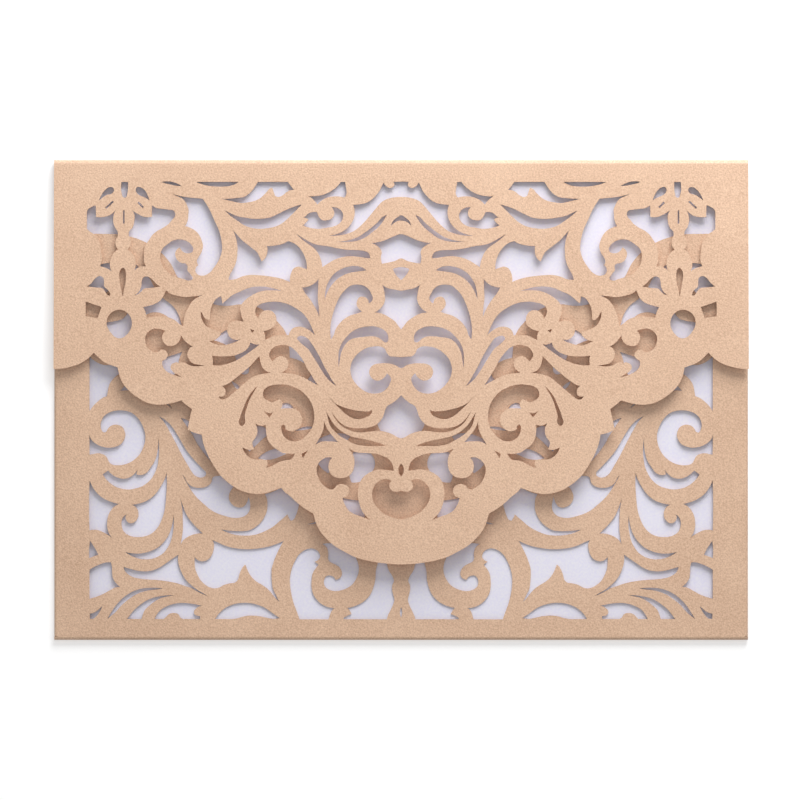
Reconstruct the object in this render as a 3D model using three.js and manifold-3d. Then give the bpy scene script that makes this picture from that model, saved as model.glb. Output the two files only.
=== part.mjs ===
// A laser-cut wedding invitation in two pieces: one folded sheet of pearl card,
// with a filigree pocket and a filigree flap, and the plain card inside its pocket.
// Millimetres, +Z up. It lies on its back, with the flap on top and +Y towards the flap's fold.
// The origin is the middle of the back, on the surface that the invitation lies on.

import * as THREE from "three";
import { mergeGeometries, mergeVertices } from "three/addons/utils/BufferGeometryUtils.js";
import Module from "manifold-3d";

// Driving dimensions
const cardWidth = 185;
const cardHeight = 128;
const sheetThickness = 0.3;
const insertThickness = 0.35;
const insertHeadroom = 0.85;
const insertSideClearance = 1.25;
const insertFoldClearance = 1.6;
const insertTopInset = 3.5;
const flapGap = 0.4;
const flapTilt = THREE.MathUtils.degToRad(1.85);
const tabWidth = 5.5;
const smoothTurn = THREE.MathUtils.degToRad(8);
const cutTolerance = 0.25;

// Heights and radii of the folds, from the sheet and the gaps between its layers
const pocketGap = insertThickness + insertHeadroom;
const pocketTop = 2 * sheetThickness + pocketGap;
const pocketFoldRadius = pocketTop / 2;
const flapFoldTop = pocketTop + flapGap + sheetThickness;
const flapFoldRadius = flapFoldTop / 2;
const sideFoldRadius = (pocketTop - sheetThickness) / 2;
const pocketFoldY = -cardHeight / 2 + pocketFoldRadius;
const flapFoldY = cardHeight / 2 - flapFoldRadius;
const pocketReachY = flapFoldY - flapFoldRadius;
const betweenPanels = pocketTop + flapGap / 2;

// The filigree is drawn in millimetres about the middle of a card with this upper right corner.
const drawnCorner = [92.5, 64];
const drawnScale = [cardWidth / 2 / drawnCorner[0], cardHeight / 2 / drawnCorner[1]];

// A point marked CORNER is sharp; a smooth curve runs through the others.
const CORNER = true;

// Scalloped edge of the flap, right half, from the side to the tip.
const flapEdge = [
  [92.5, 8.25, CORNER], [88, 8.8], [84.5, 10.2], [81.8, 12.6, CORNER], [80.6, 11.4], [79.5, 10.4],
  [78.1, 9.6], [76.4, 9], [75.4, 8.6, CORNER], [75.2, 7.5], [74.7, 5.8], [73.6, 3.8], [71.9, 2],
  [69.9, 0.55], [67.6, -0.7], [65.4, -1.2], [63.1, -1.2], [60.9, -0.8], [58.5, -0.1, CORNER],
  [57.4, -1.1], [55.6, -2.4, CORNER], [56, -4], [56.8, -7.9, CORNER], [55, -8.7],
  [53, -9.2, CORNER], [52.6, -11.5], [51.5, -14.4], [50, -17.2], [47.8, -20.3], [45.3, -22.5],
  [42, -24.3], [40.4, -24.75], [37.7, -25], [35.8, -24.7], [33.7, -24], [31.8, -23.4, CORNER],
  [31, -24.4], [29.6, -25.5], [27.7, -27.25], [25.85, -28.7], [23.4, -30.1, CORNER],
  [23.15, -30.9], [22.6, -32.8], [21.5, -34.9], [19.9, -36.8], [17.8, -38.7], [15.1, -40.3],
  [12.1, -41.8], [8.9, -42.7], [5.4, -43.3], [0, -43.7],
];

// Openings of the flap, right half; the left half mirrors them.
const flapPairs = {
  longTopSlot: [
    [43.2, 58.1, CORNER], [54.7, 58.1, CORNER], [51.5, 57.1], [48, 56.85], [45, 57.2],
  ],
  smallTopSlit: [
    [58.4, 56.95, CORNER], [60.9, 58.1], [63.9, 58.1, CORNER], [61.5, 57.4],
  ],
  bigComma: [
    [62, 55.4, CORNER], [59.1, 54.4], [57.5, 54.1], [54.8, 53.8], [52.9, 53.65, CORNER],
    [51.3, 51.2], [49.8, 48], [48.4, 44.8], [47.8, 42.1], [47.7, 39.9], [48.3, 37.8],
    [49.65, 35.5], [51, 33.9], [52.9, 33.1], [54.4, 33.6], [54.8, 34.6], [54, 35.9, CORNER],
    [54.4, 37], [54, 38], [53.3, 39.1], [52.8, 40.7], [53.15, 42.6], [54.2, 44.5], [55.6, 45.6],
    [57.6, 46.3, CORNER], [56.9, 47.7], [56.7, 49.4], [56.65, 50.7], [57.1, 52], [58, 53.4],
    [59.9, 54.4],
  ],
  spiralEye: [
    [55.3, 40.2], [55.85, 41.3], [57.5, 42.5], [59.1, 42.8], [60.7, 42.5], [62.3, 41.4],
    [63.4, 40.5], [64.05, 39.1], [64.1, 37.8], [63.7, 36.15], [62.85, 34.8], [61.5, 33.6],
    [59.9, 32.8], [58, 32.25], [56.4, 31.8], [55.6, 32.1], [56.1, 33.5], [56.9, 34.5],
    [56.9, 35.75], [57.5, 36.4, CORNER], [59.1, 36.8], [60, 38], [60.15, 39.1], [59.6, 40.2],
    [58.9, 40.6, CORNER], [58.5, 39.9], [57.7, 39.25], [56.4, 39.1], [55.6, 39.4],
  ],
  budLeft: [
    [67, 53.1, CORNER], [67.4, 54.2], [68.2, 55.7], [69.3, 56.6], [70.25, 56.75], [70.7, 56.2],
    [70.5, 55.3], [69.6, 54.5], [68.2, 53.9],
  ],
  budRight: [
    [80.5, 53.1, CORNER], [79.8, 54.7], [78.7, 56.1], [77.7, 56.7], [76.7, 56.5], [76.5, 55.8],
    [77.1, 55], [78.5, 54.6], [79.5, 53.9],
  ],
  budTop: [
    [72.8, 58.1, CORNER], [74.5, 58.1, CORNER], [74.6, 56.9], [74.5, 55.3], [73.6, 53.9],
    [72.9, 55.3], [72.75, 56.6],
  ],
  veinLeft: [
    [68.5, 51.45, CORNER], [68.9, 51.1, CORNER], [70.3, 52.5, CORNER], [69.9, 52.9, CORNER],
  ],
  veinRight: [
    [76.5, 52.75, CORNER], [78.5, 50.9, CORNER], [78.9, 51.25, CORNER], [76.9, 53.1, CORNER],
  ],
  veinStem: [
    [73.65, 50.5, CORNER], [73.65, 47, CORNER], [74.1, 47, CORNER], [74.1, 50.5, CORNER],
  ],
  windowLeft: [
    [66.3, 51.9, CORNER], [66.4, 50.4], [66.35, 48.8, CORNER], [67.4, 48.7], [68.8, 48.9],
    [70, 49.5], [70.9, 50], [71.9, 50.8, CORNER], [71.05, 49.35], [71.05, 47.7], [71.6, 45.85],
    [72.5, 44.8], [72.5, 43.7], [72, 42.6], [72.1, 41.3], [72.8, 40.05, CORNER], [71.7, 39.1],
    [70.9, 37.8], [70.65, 36.4], [70.8, 35.1], [71.15, 34.15, CORNER], [70.5, 34.95], [69.3, 35.5],
    [67.95, 35.6, CORNER], [68.4, 36.7], [68.45, 38.3], [68.4, 39.9], [67.95, 41.4], [67.15, 42.6],
    [66.1, 44.1], [65, 45], [63.4, 45.85], [61.9, 46.9, CORNER], [61, 48], [60.3, 48.8],
    [60.15, 49.6], [60.55, 50.4], [61.8, 50.7], [63.9, 50.95], [65.3, 51.2],
  ],
  windowRight: [
    [81.4, 51.9, CORNER], [82.5, 51.4], [83.4, 50.8], [83.7, 49.9, CORNER], [83.7, 45.6, CORNER],
    [82.8, 44.8], [81.7, 44.1], [80.9, 43.15], [80.2, 41.8], [79.9, 39.9], [79.7, 38.6],
    [79.7, 37.2], [80.2, 35.6, CORNER], [79, 35.3], [78, 34.9], [77.05, 34.15, CORNER],
    [77.45, 35.2], [77.5, 36.7], [77, 38.3], [76.2, 39.5], [75.4, 40.15, CORNER], [76, 41.3],
    [76, 42.6], [75.5, 43.7], [75.5, 44.8], [76.3, 46.1], [76.7, 47.7], [76.6, 49.1],
    [75.9, 50.8, CORNER], [76.7, 49.9], [77.9, 49.1], [79.3, 48.75], [81.3, 48.75, CORNER],
    [81.3, 50.4],
  ],
  stemDrop: [
    [73.95, 35.15], [74.7, 34.7], [75.05, 33.5], [74.9, 31.6], [74.5, 29.4], [74.2, 27.5, CORNER],
    [73.75, 29.4], [73.3, 32.1], [73.3, 33.7], [73.5, 34.7],
  ],
  heelLeft: [
    [64.2, 30.2, CORNER], [65.5, 31.2], [66.6, 32.4], [67.7, 32.9], [68.6, 32.65], [69.05, 31.6],
    [69.2, 30.2], [70.05, 28.6], [71.05, 27.9, CORNER], [70.3, 28.05], [69.3, 28.75], [68.5, 29.6],
    [67.1, 29.8], [65.4, 30],
  ],
  heelRight: [
    [83.7, 30.2, CORNER], [82.5, 31.05], [81.4, 32.4], [80.2, 33], [79.3, 32.5], [79.1, 31.3],
    [79, 30.2], [77.9, 29.15], [77.4, 27.9, CORNER], [77.9, 27.8], [78.8, 28.9], [79.5, 29.7],
    [81.2, 29.95],
  ],
  roundHole: [
    [71.65, 20.4], [72.6, 22.9], [74.9, 24.05], [77.3, 23.1], [78.4, 20.6], [77.5, 18.2],
    [74.9, 16.4], [72.5, 18],
  ],
  notchRight: [
    [79.75, 24.75, CORNER], [83.95, 26.2, CORNER], [84, 22.3, CORNER], [80.8, 21.8, CORNER],
    [80.2, 23.5],
  ],
  hornWindow: [
    [52.8, 27.9, CORNER], [55.2, 27.6], [57.5, 27.4], [59.7, 27.8], [61.4, 28.3],
    [62.6, 29.2, CORNER], [63.1, 28.05], [64, 26.6], [65.4, 25.65], [67.1, 25.1],
    [68.7, 24.7, CORNER], [68.05, 23.5], [67.7, 21.9, CORNER], [65.95, 22.1], [64, 22.3], [62, 22],
    [60.3, 21.3], [59.2, 20.4], [58.05, 19.6, CORNER], [57.9, 21], [57.5, 22.7], [56.6, 24.7],
    [55.4, 26.5], [54.1, 27.35],
  ],
  leafAndCrescent: [
    [31.7, 29, CORNER], [33.8, 29.7], [36.7, 30.2], [40, 30], [42.8, 28.9], [45.1, 27.8],
    [46.5, 26.6], [47.6, 25.65, CORNER], [47.9, 27.6, CORNER], [49, 27.1], [50, 25.8],
    [50.6, 24.4], [50.8, 22.7], [50.85, 21.4, CORNER], [51.3, 21.3], [52.4, 22], [53.1, 23.25],
    [53.3, 23.5, CORNER], [53.25, 22.4], [52.8, 21], [51.85, 19.7], [50.4, 18.9], [49, 18.5],
    [48.2, 18.2], [48.05, 17.6], [48.7, 16.6], [49.9, 15.9], [51.2, 15.7, CORNER], [49.9, 15.1],
    [48.5, 14.6], [46.8, 14.65], [45.1, 15.1], [43.7, 15.6], [42.8, 16.2, CORNER], [44.2, 16.05],
    [45.4, 16.6], [46.1, 17.6], [46.25, 18.5], [46.1, 19.6], [45.4, 20.7], [44.2, 21.1],
    [43.1, 21.05], [41.9, 20.8, CORNER], [42.4, 22.1], [42.75, 23.5], [42.8, 24.7], [42.5, 25.4],
    [41.5, 26.6], [39.5, 28], [37, 29], [34, 29.2],
  ],
  stripUnderLeaf: [
    [37.6, 14.85, CORNER], [38.9, 14.8], [40.15, 15.35, CORNER], [40.4, 14.4], [41.4, 13.2],
    [42.8, 12.4], [44.2, 11.9], [47.05, 11.6], [50.3, 11.8, CORNER], [50.1, 10.6],
    [50.2, 9.3, CORNER], [48.5, 9.2], [46.8, 9.5], [45.1, 10], [42.8, 11.1], [40.85, 12.4],
    [39.6, 13.3],
  ],
  nickUpper: [
    [39, 18.5, CORNER], [40.2, 18.9, CORNER], [39.7, 17.9, CORNER],
  ],
  dotLeaf: [
    [22.9, 17.2, CORNER], [23.4, 18.4], [24.1, 20], [25, 21.65], [26.1, 23], [27.7, 24.2],
    [29.6, 25.3], [31.8, 26], [33.9, 26.2], [35.8, 26], [37.7, 25.4], [38.6, 24.6], [38.8, 23.3],
    [38.4, 22.2], [38, 21.65, CORNER], [37.6, 22.7], [36.6, 23.7], [35.5, 23.9], [34.5, 23.7],
    [33.5, 22.7], [33.2, 21.4], [33.5, 20], [34.5, 19.1], [35.5, 18.6], [36.75, 18.4, CORNER],
    [36.2, 17.2], [36.3, 15.9, CORNER], [35.3, 16.4], [33.7, 17.1], [31.8, 17.3],
    [29.9, 17.2, CORNER], [29.6, 18.2], [28.8, 19.1], [27.5, 19.5], [26.1, 19.4], [24.8, 18.8],
    [23.7, 18],
  ],
  longDrop: [
    [17.1, 3.6, CORNER], [18.3, 5.2], [19.4, 7.1], [20.5, 9], [21.5, 11.15], [22.9, 13.6],
    [23.95, 15.2], [24.8, 16.3], [25.85, 16.9], [27.2, 17], [27.7, 16.5], [27.2, 15.7],
    [26.1, 14.65], [24.8, 13.6], [23.7, 12], [22.3, 9.8], [21, 7.65], [19.7, 5.8],
  ],
  knobWindow: [
    [22.1, 3.9, CORNER], [23.2, 5.5], [24.2, 7.1], [25.2, 8.7], [25.85, 10.1], [26.9, 11.7],
    [28, 13], [29.3, 14.1], [30.95, 14.6], [32.6, 14.5], [33.9, 14], [34.9, 12.8], [35.1, 11.7],
    [34.7, 10.9], [34.2, 10.3, CORNER], [33.7, 10.75], [33, 11.4], [32, 11.7], [30.95, 11.4],
    [30.2, 10.6], [30, 9.5], [30.3, 8.5], [30.95, 7.8], [31.8, 7.3, CORNER], [30.2, 7.1],
    [28.3, 6.85], [26.4, 6.2], [24.8, 5.4], [23.4, 4.6],
  ],
  rightWedge: [
    [34.6, 7.3, CORNER], [35.8, 7.65], [36.9, 8.7], [37.4, 10.1], [37.7, 11.7, CORNER], [39, 10.3],
    [40.4, 8.8], [42.3, 7.2], [44.8, 5.2], [46.5, 4.1], [47.7, 3.7, CORNER], [47.05, 3.2],
    [46.7, 2.4], [46.9, 1.4], [47.6, 0.9], [48.5, 1.05, CORNER], [48.2, 0.45], [47.5, 0.1],
    [46.5, 0.4], [45.1, 1.5], [43.4, 2.95], [41.7, 4.4], [40, 5.8], [37.7, 6.8], [36.1, 7.1],
  ],
  largeComma: [
    [36.75, 1.45], [36.35, 2.8], [35.3, 3.6], [33.7, 4], [31.8, 4.15], [29.9, 3.9], [28, 3.2],
    [26.4, 2.3], [25, 0.9], [23.8, -1], [23.2, -3.1], [23.1, -4.7], [23.4, -6.6], [24.2, -8.2],
    [25.4, -9.6], [26.9, -10.7], [28.5, -11], [30.2, -10.5], [31.4, -9.3], [31.8, -8],
    [31.8, -6.9], [31.4, -6.5, CORNER], [31, -6.75], [30.8, -7.7, CORNER], [29.9, -8.2],
    [28.8, -8.3], [27.5, -7.7], [26.5, -6.35], [26.3, -5], [26.65, -3.9], [27.5, -2.85],
    [28.5, -2.3], [30.2, -2.2], [32, -2.3, CORNER], [31.6, -1.4], [32.3, 0.25, CORNER],
    [33.1, -0.15], [34.2, -0.55], [35.5, -0.15], [36.5, 0.65],
  ],
  curveSlit: [
    [38.2, 3.75, CORNER], [40.5, 1.1], [41.9, -2], [42.8, -4.5], [43.1, -6.2], [42.4, -6.9],
    [41.6, -6.2], [41.6, -4.2], [41.1, -2.2], [40.3, 0.1], [39.2, 2.1],
  ],
  nickLower: [
    [33.9, -3.2, CORNER], [34.9, -3.5], [36.6, -2.6, CORNER], [35.7, -3.9], [35, -4.6, CORNER],
    [34.5, -3.9],
  ],
  wing: [
    [35.95, -6.6, CORNER], [37.7, -6.75], [39.1, -5.9, CORNER], [38.5, -6.9], [38.2, -8.2],
    [38.6, -9.8], [39.6, -11.5], [39.4, -12.3], [39, -13.1, CORNER], [40.4, -13.25],
    [42.2, -12.5, CORNER], [41.2, -14.5], [40.1, -15.4], [38.8, -15.8], [37.2, -15.8],
    [35.8, -15.9, CORNER], [35.5, -17.15], [36, -18, CORNER], [34.7, -17.7], [33.7, -17.15],
    [32.3, -16.4], [30.7, -16], [29.3, -15.8], [28.7, -15.1], [28.2, -14.25, CORNER],
    [29.9, -14.3], [31.5, -14.05], [33.1, -13.1], [34.5, -12], [35.4, -10.7], [35.8, -9.35],
    [35.95, -8],
  ],
  smallTriangle: [
    [24.7, -13.4, CORNER], [26.5, -14.3, CORNER], [26.1, -15.5, CORNER], [25.6, -14.6],
  ],
  hairUpper: [
    [20.05, 1.7, CORNER], [18.85, 0.4], [17.2, -1.1], [15.1, -2], [12.9, -2.6], [10.2, -3],
    [8.6, -3], [7.7, -2.7, CORNER], [8.1, -3.8], [9.4, -4.6], [11.3, -5.1], [13.2, -4.7],
    [14.8, -3.65], [16.4, -2.2], [18.3, -0.3],
  ],
  hairLower: [
    [19.9, -3.1, CORNER], [18.85, -5], [17.5, -6.9], [15.6, -8.5], [13.5, -9.6], [10.8, -10.25],
    [8.1, -10.8], [5.4, -11.6], [3.9, -12.2, CORNER], [6.7, -12.25], [9.95, -12.2], [12.1, -11.8],
    [14.3, -10.7], [16.2, -9.6], [17.5, -8.5], [18.85, -6.9], [19.5, -4.7],
  ],
  bentTriangle: [
    [20.5, -5.5, CORNER], [19.9, -7.2], [18.85, -8.8], [17.5, -10.4], [16.8, -11.2, CORNER],
    [18.85, -11], [21.5, -11.2], [22.8, -12, CORNER], [22.1, -10.8], [21.3, -9.35], [20.7, -7.8],
  ],
  heartSide: [
    [2, -18.8, CORNER], [2.3, -17.15], [3.2, -15.8], [4.85, -14.9], [6.7, -14.3], [9.4, -14.1],
    [12.1, -13.8], [13.2, -13.25], [14, -12.9, CORNER], [13.3, -13.8], [12.65, -14.9],
    [12.4, -16.1], [12.5, -17.7], [12.9, -19], [13.7, -20], [14.8, -20.6], [16.2, -20.8],
    [17.8, -20.4], [18.85, -19.4], [19.3, -18.2], [19.25, -16.9], [18.85, -15.9],
    [18.3, -15.4, CORNER], [19.9, -15.3], [21.3, -16.1], [22.2, -17.3], [22.5, -18.8],
    [22.1, -20.4], [21.3, -22], [19.9, -23.2], [18.6, -23.8], [17.6, -23.3, CORNER], [17.2, -22.8],
    [16.4, -22.4], [15.35, -22.4], [14.3, -22.9], [13.8, -23.9], [13.9, -24.8], [14.5, -25.6],
    [15.5, -26, CORNER], [15.4, -26.7], [14.9, -27.9], [14, -29.3], [12.65, -30.2], [10.8, -30.9],
    [9.4, -31.4], [8.1, -31.95, CORNER], [9.15, -31], [10.2, -29.8], [10.9, -28.2], [11.4, -26.3],
    [11.5, -24.7], [11.4, -23.35], [11, -22], [10.2, -20.65], [8.9, -19.6], [7.3, -18.8],
    [5.4, -18.45], [3.8, -18.6],
  ],
  crownSide: [
    [14.95, 58.1, CORNER], [16.1, 58.1, CORNER], [16.9, 57.05], [18.3, 55.9], [20, 54.95],
    [22, 54.4], [24.7, 54.3, CORNER], [23.4, 53.4], [22.3, 52.05, CORNER], [21.4, 52.95],
    [20, 53.8], [18.3, 54.2], [16.4, 54.2], [15.1, 53.95, CORNER], [14.6, 54.8], [14.6, 56.1],
    [14.8, 57.2],
  ],
  smallScroll: [
    [18.6, 51.4, CORNER], [17.5, 51.3], [16.2, 50.7], [15.5, 49.6], [15.6, 48.2], [16.6, 46.9],
    [18.05, 46.2], [19.7, 45.9], [21.7, 45.6], [24, 45.8], [26.2, 46.5, CORNER], [25.4, 47.2],
    [24.7, 48, CORNER], [25.4, 48.5], [26.4, 48.6, CORNER], [25.4, 49], [24.8, 49.6], [24, 50],
    [23.1, 50.1], [22.4, 50, CORNER], [22, 49], [21.15, 48], [19.7, 47.9], [18.3, 48.5],
    [17.8, 49.6], [18.05, 50.7],
  ],
  bigTopLeaf: [
    [30.2, 58.1, CORNER], [38.2, 58.1, CORNER], [38.9, 56.9], [40.05, 55.4], [41.7, 54.2],
    [44, 53.8], [48.05, 53.65, CORNER], [45.3, 53], [44, 52.7], [42.9, 52.5], [40.6, 52.7],
    [39.5, 52.9], [37.5, 53.8], [36.1, 55.1], [34.8, 56.4], [34.3, 56.5, CORNER],
    [33.6, 54.4, CORNER], [32.9, 54.1], [31.6, 54.5], [30.5, 55.4], [29.6, 55.85],
    [28.5, 55.9, CORNER],
  ],
  secondLeaf: [
    [26.4, 52.1, CORNER], [28.2, 51.6], [30.5, 50.7], [32.7, 49.6], [35, 48.6], [37.2, 48.3],
    [39.5, 48.3], [41.7, 48.6], [44, 49.1], [45.5, 49.8], [47, 50.55, CORNER], [46.2, 49.7],
    [45.1, 48.8], [43.4, 47.6], [41.7, 46.5], [40.05, 45.9], [37.8, 45.6], [35.3, 45.8],
    [32.7, 46.5], [31, 47.6], [29.3, 49.2], [27.6, 50.9],
  ],
  bigWindow: [
    [30.2, 42.3, CORNER], [31, 41.8], [32.7, 41.3], [35.7, 41, CORNER], [35.6, 39.7], [35.8, 38.6],
    [36.4, 37.5], [37.2, 36.9, CORNER], [37.65, 38], [38.4, 39.4], [39.5, 40.3], [40.9, 41.4],
    [42.3, 42.5], [43.4, 43.7], [44.8, 45.3, CORNER], [44, 43.15], [43.6, 41.1], [43.6, 39.4],
    [43.75, 37.7], [44.2, 36], [44.9, 34.6], [45.6, 33.4], [46, 32, CORNER], [44.8, 32.05],
    [44, 32.2], [42.3, 32.9], [40.05, 33.3], [37.8, 33.2], [35.3, 32.95], [32.7, 32.5], [31, 32],
    [29.6, 31.4, CORNER], [29.6, 32.4], [29.3, 33.8], [28.5, 35.1], [27.4, 35.5], [26.2, 35.2],
    [25.1, 34.8, CORNER], [25.2, 36.6], [25.7, 38.3], [26.65, 40], [27.9, 41.3], [29.3, 42.1],
  ],
  arcStrip: [
    [27.9, 44.2, CORNER], [27.1, 43.7], [25.4, 42.7], [23.7, 41.8], [22, 41.3], [19.7, 41],
    [16.9, 40.4], [14.1, 40], [11.3, 39.9], [9.9, 39.7], [8.7, 39.15], [8.3, 37.7, CORNER],
    [9.9, 37.9], [11.8, 38.2], [13.5, 38.3], [15.8, 38], [18.05, 37.2], [19.7, 36.2],
    [21, 35.35, CORNER], [21.15, 36.6], [21.6, 38], [22.3, 39.4], [23.4, 40.6], [25.1, 41.8],
    [26.8, 43.1],
  ],
  longStrip: [
    [3.8, 49.3, CORNER], [5, 48.7], [6.2, 47.4], [7.8, 46], [9.5, 44.7], [11.5, 43.4],
    [13.5, 42.7], [17.3, 42.1, CORNER], [14.1, 42.1], [11.8, 42.4], [9.9, 43.1], [7.9, 44.5],
    [5.9, 46.2], [4.8, 47.6],
  ],
  crescent: [
    [9.2, 34.5, CORNER], [10.4, 35.3], [12.4, 35.7], [14.1, 35.5], [16.1, 34.8], [17.8, 33.65],
    [19, 32.1], [19.7, 30.7], [20.15, 29], [20.3, 26.6, CORNER], [19.4, 29.2], [18.4, 30.7],
    [17.2, 32], [15.6, 33.1], [13.9, 33.8], [11.6, 34.2],
  ],
  narrowWedge: [
    [22, 32.3, CORNER], [22.8, 31.3], [24, 30.5], [26.4, 29.95, CORNER], [25.5, 28.4],
    [24.3, 26.9], [23.2, 25.2], [22.35, 23.6], [21.75, 22.05, CORNER], [21.9, 24.6], [22.2, 27.3],
    [22.1, 29.5],
  ],
  scroll: [
    [7.9, 28.15], [8.5, 29.3], [9.9, 30.4], [11.6, 30.75], [13.3, 30.5], [14.9, 29.3],
    [16.15, 27.8], [17.2, 25.7], [18, 23.5], [18.6, 21.1], [18.85, 18.7], [18.7, 16.1, CORNER],
    [17.9, 17.35], [17.5, 18.7], [16.7, 20], [15.35, 21.4], [13.5, 22.5], [11.8, 23],
    [10.4, 23.5, CORNER], [11.2, 24.2], [11.8, 25.15], [11.7, 26.5], [11, 27.4], [10.1, 27.5],
    [9.3, 27.2], [8.75, 26.5], [8.6, 25.7, CORNER], [7.9, 26.2], [7.5, 27.3],
  ],
  crescentLow: [
    [3.4, 16.5], [3.8, 17.9], [5.4, 19.1], [7, 19.6], [9.15, 19.55], [11.3, 19.1], [12.9, 18.3],
    [14.5, 16.8], [15.9, 14.9], [16.6, 12.8], [16.7, 10.6], [16.6, 8.5, CORNER], [16.3, 10.6],
    [15.9, 12.8], [15.1, 14.4], [14, 15.7], [12.65, 16.4], [10.8, 16.7], [9.15, 16.9], [7, 16.9],
    [5.65, 16.4], [4.85, 15.7], [4.3, 15.3, CORNER], [3.6, 15.5],
  ],
  doubleHook: [
    [58.6, 17.3, CORNER], [58.8, 16.2], [59.5, 15.1], [60.9, 14.4], [62.3, 14.5], [63.3, 15.5],
    [63.6, 16.6], [63.4, 17.6], [62.7, 18.4, CORNER], [64, 18.8], [65.7, 19], [67.1, 18.3],
    [68, 17.05], [68.05, 15.4], [67.4, 13.95], [66.2, 12.95], [65.2, 12.7], [64, 13.4, CORNER],
    [63.3, 13.4], [62.4, 12.8], [62.1, 11.8], [62.6, 11], [63.5, 10.5, CORNER], [63.55, 9.4],
    [63, 8.2], [61.7, 7.2], [60, 6.5], [58.3, 6.1, CORNER], [59.7, 6.9], [60.9, 7.7], [61.35, 8.6],
    [61.15, 9.4], [60.3, 9.9], [59.5, 10], [59.2, 9.6, CORNER], [58.8, 10], [57.8, 10],
    [56.6, 9.4], [55.2, 9], [53.5, 9], [52, 9.2, CORNER], [54.1, 9.4], [55.8, 10], [56.6, 11.1],
    [56.9, 12.3], [56.6, 13.2], [56.1, 13.95], [55.4, 14.2, CORNER], [56.6, 14.9], [57.6, 15.8],
  ],
};

// Openings of the flap that cross the centre line, right half only.
const flapCentres = {
  hairMiddle: [
    [0, 1.3, CORNER], [0.8, 0.4], [2.15, -0.7], [3.8, -1.8], [4.3, -2.85], [4.7, -4.2],
    [5.5, -5.5], [6.5, -6.5], [8.1, -7.2], [10.2, -7.5], [12.65, -7.4], [14.8, -6.9], [16.4, -5.8],
    [17.8, -4.2], [18.7, -2.7, CORNER], [17.5, -5], [16.2, -6.6], [14.5, -7.7], [12.65, -8.4],
    [10.5, -8.6], [8.3, -8.4], [6.2, -8.2], [4, -8.5], [2.15, -9.2], [1.1, -9.85],
    [0, -10.2, CORNER],
  ],
  lowDiamond: [
    [0, -16.9, CORNER], [0.7, -19], [0, -20.3, CORNER],
  ],
  heart: [
    [0, -24.15], [1.35, -24.4], [2.7, -23.9], [3.15, -22.7], [2.6, -21.5, CORNER], [3.5, -21.1],
    [4.6, -21.05], [5.9, -21.6], [7, -22.7], [7.6, -24.15], [7.7, -25.5], [7.3, -27.1],
    [6.3, -28.6], [5.1, -29.8], [3.5, -30.75], [1.6, -31.4], [0, -31.75],
  ],
  crown: [
    [0, 58.2], [2.1, 58.1, CORNER], [1.8, 57.3], [2.1, 56.8], [3.1, 56.5], [3.9, 56.9],
    [4.65, 58, CORNER], [5.2, 56.9], [5.8, 55.65], [6.8, 54.4], [8.2, 53.1], [9.9, 52.35],
    [11.3, 52.1], [12.8, 52, CORNER], [12.4, 50.7], [12.4, 49.3], [12.8, 47.9], [13.8, 46.35],
    [15.2, 45.1], [16.9, 44.3], [19.3, 43.8, CORNER], [16.9, 43.8], [14.7, 44.2], [12.4, 45.1],
    [11, 46.2], [9.6, 47.6], [7.9, 49.6], [6.5, 51.3], [4.8, 53], [2.8, 53.8], [0, 54.1],
  ],
  chevron: [
    [0, 49.2], [1.1, 48.6], [2, 47.9], [2.7, 46.3, CORNER], [2, 47.05], [1.1, 47.6], [0, 47.8],
  ],
  rhombus: [
    [0, 44.2], [1.7, 43.7], [3.7, 42.8], [5.1, 42.3], [8, 41.8, CORNER], [6.5, 41.1], [5.6, 40.3],
    [5.2, 39.4], [5.4, 38], [5.1, 36.3, CORNER], [3.4, 36.6], [1.7, 37], [0, 37.7],
  ],
  smallDiamond: [
    [0, 35.4], [2.2, 34.9, CORNER], [1.7, 33.8], [0.85, 32.7], [0, 31.95, CORNER],
  ],
  moustache: [
    [0, 29.1], [1.7, 29.4], [3.7, 29.85], [5, 30.7, CORNER], [4.4, 28.4], [4.25, 27], [4.7, 25.4],
    [5.8, 24.1], [7.1, 23.3, CORNER], [4.85, 22.9], [3, 21.9], [1.6, 20.85], [0.8, 19.8],
    [0, 18.8, CORNER],
  ],
  twinEyes: [
    [0, 11.4], [1.6, 11.55], [3, 11.7], [3.8, 12.5], [4.3, 13.6], [5.4, 14.2], [7.3, 14.25],
    [9.15, 13.85], [11.3, 12.5], [12.9, 10.6], [13.5, 8.5], [13.2, 6.3], [12.1, 4.4], [10.8, 3.1],
    [8.9, 2], [7, 1.7], [5.1, 2.1], [3.8, 3.1], [3, 4.4], [2.7, 5.8], [3.2, 6.6],
    [3.8, 7.1, CORNER], [4, 6.6], [4.7, 5.8], [5.8, 5.2], [7, 5.3], [8.1, 6.2], [8.5, 7.4],
    [8.1, 8.7], [7, 9.5], [5.4, 9.75], [3.2, 9.7], [1.6, 9.3], [0, 8.5],
  ],
};

// Top edge of the pocket, right half, from the side to the centre.
const pocketEdge = [
  [92.5, 44.3, CORNER], [80, 44.3], [76, 44.2], [72, 43.5], [68, 42], [64, 39.3], [61.5, 36.4],
  [59.6, 32.8], [57, 29.9], [54, 27.6], [51.2, 26, CORNER], [49, 25.3], [46.5, 25.1], [42.7, 25.5],
  [38, 24.6], [33.6, 21.5], [30.7, 17.8], [29.9, 14], [29.7, 11.3, CORNER], [26.1, 10],
  [22.5, 6.9], [18.6, 2.8], [14, 0.4], [10.2, -0.8], [7.6, -1.6, CORNER], [6.6, -4], [6.3, -6.5],
  [5.5, -8.2, CORNER], [3, -10.5], [0, -12.5],
];

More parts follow.
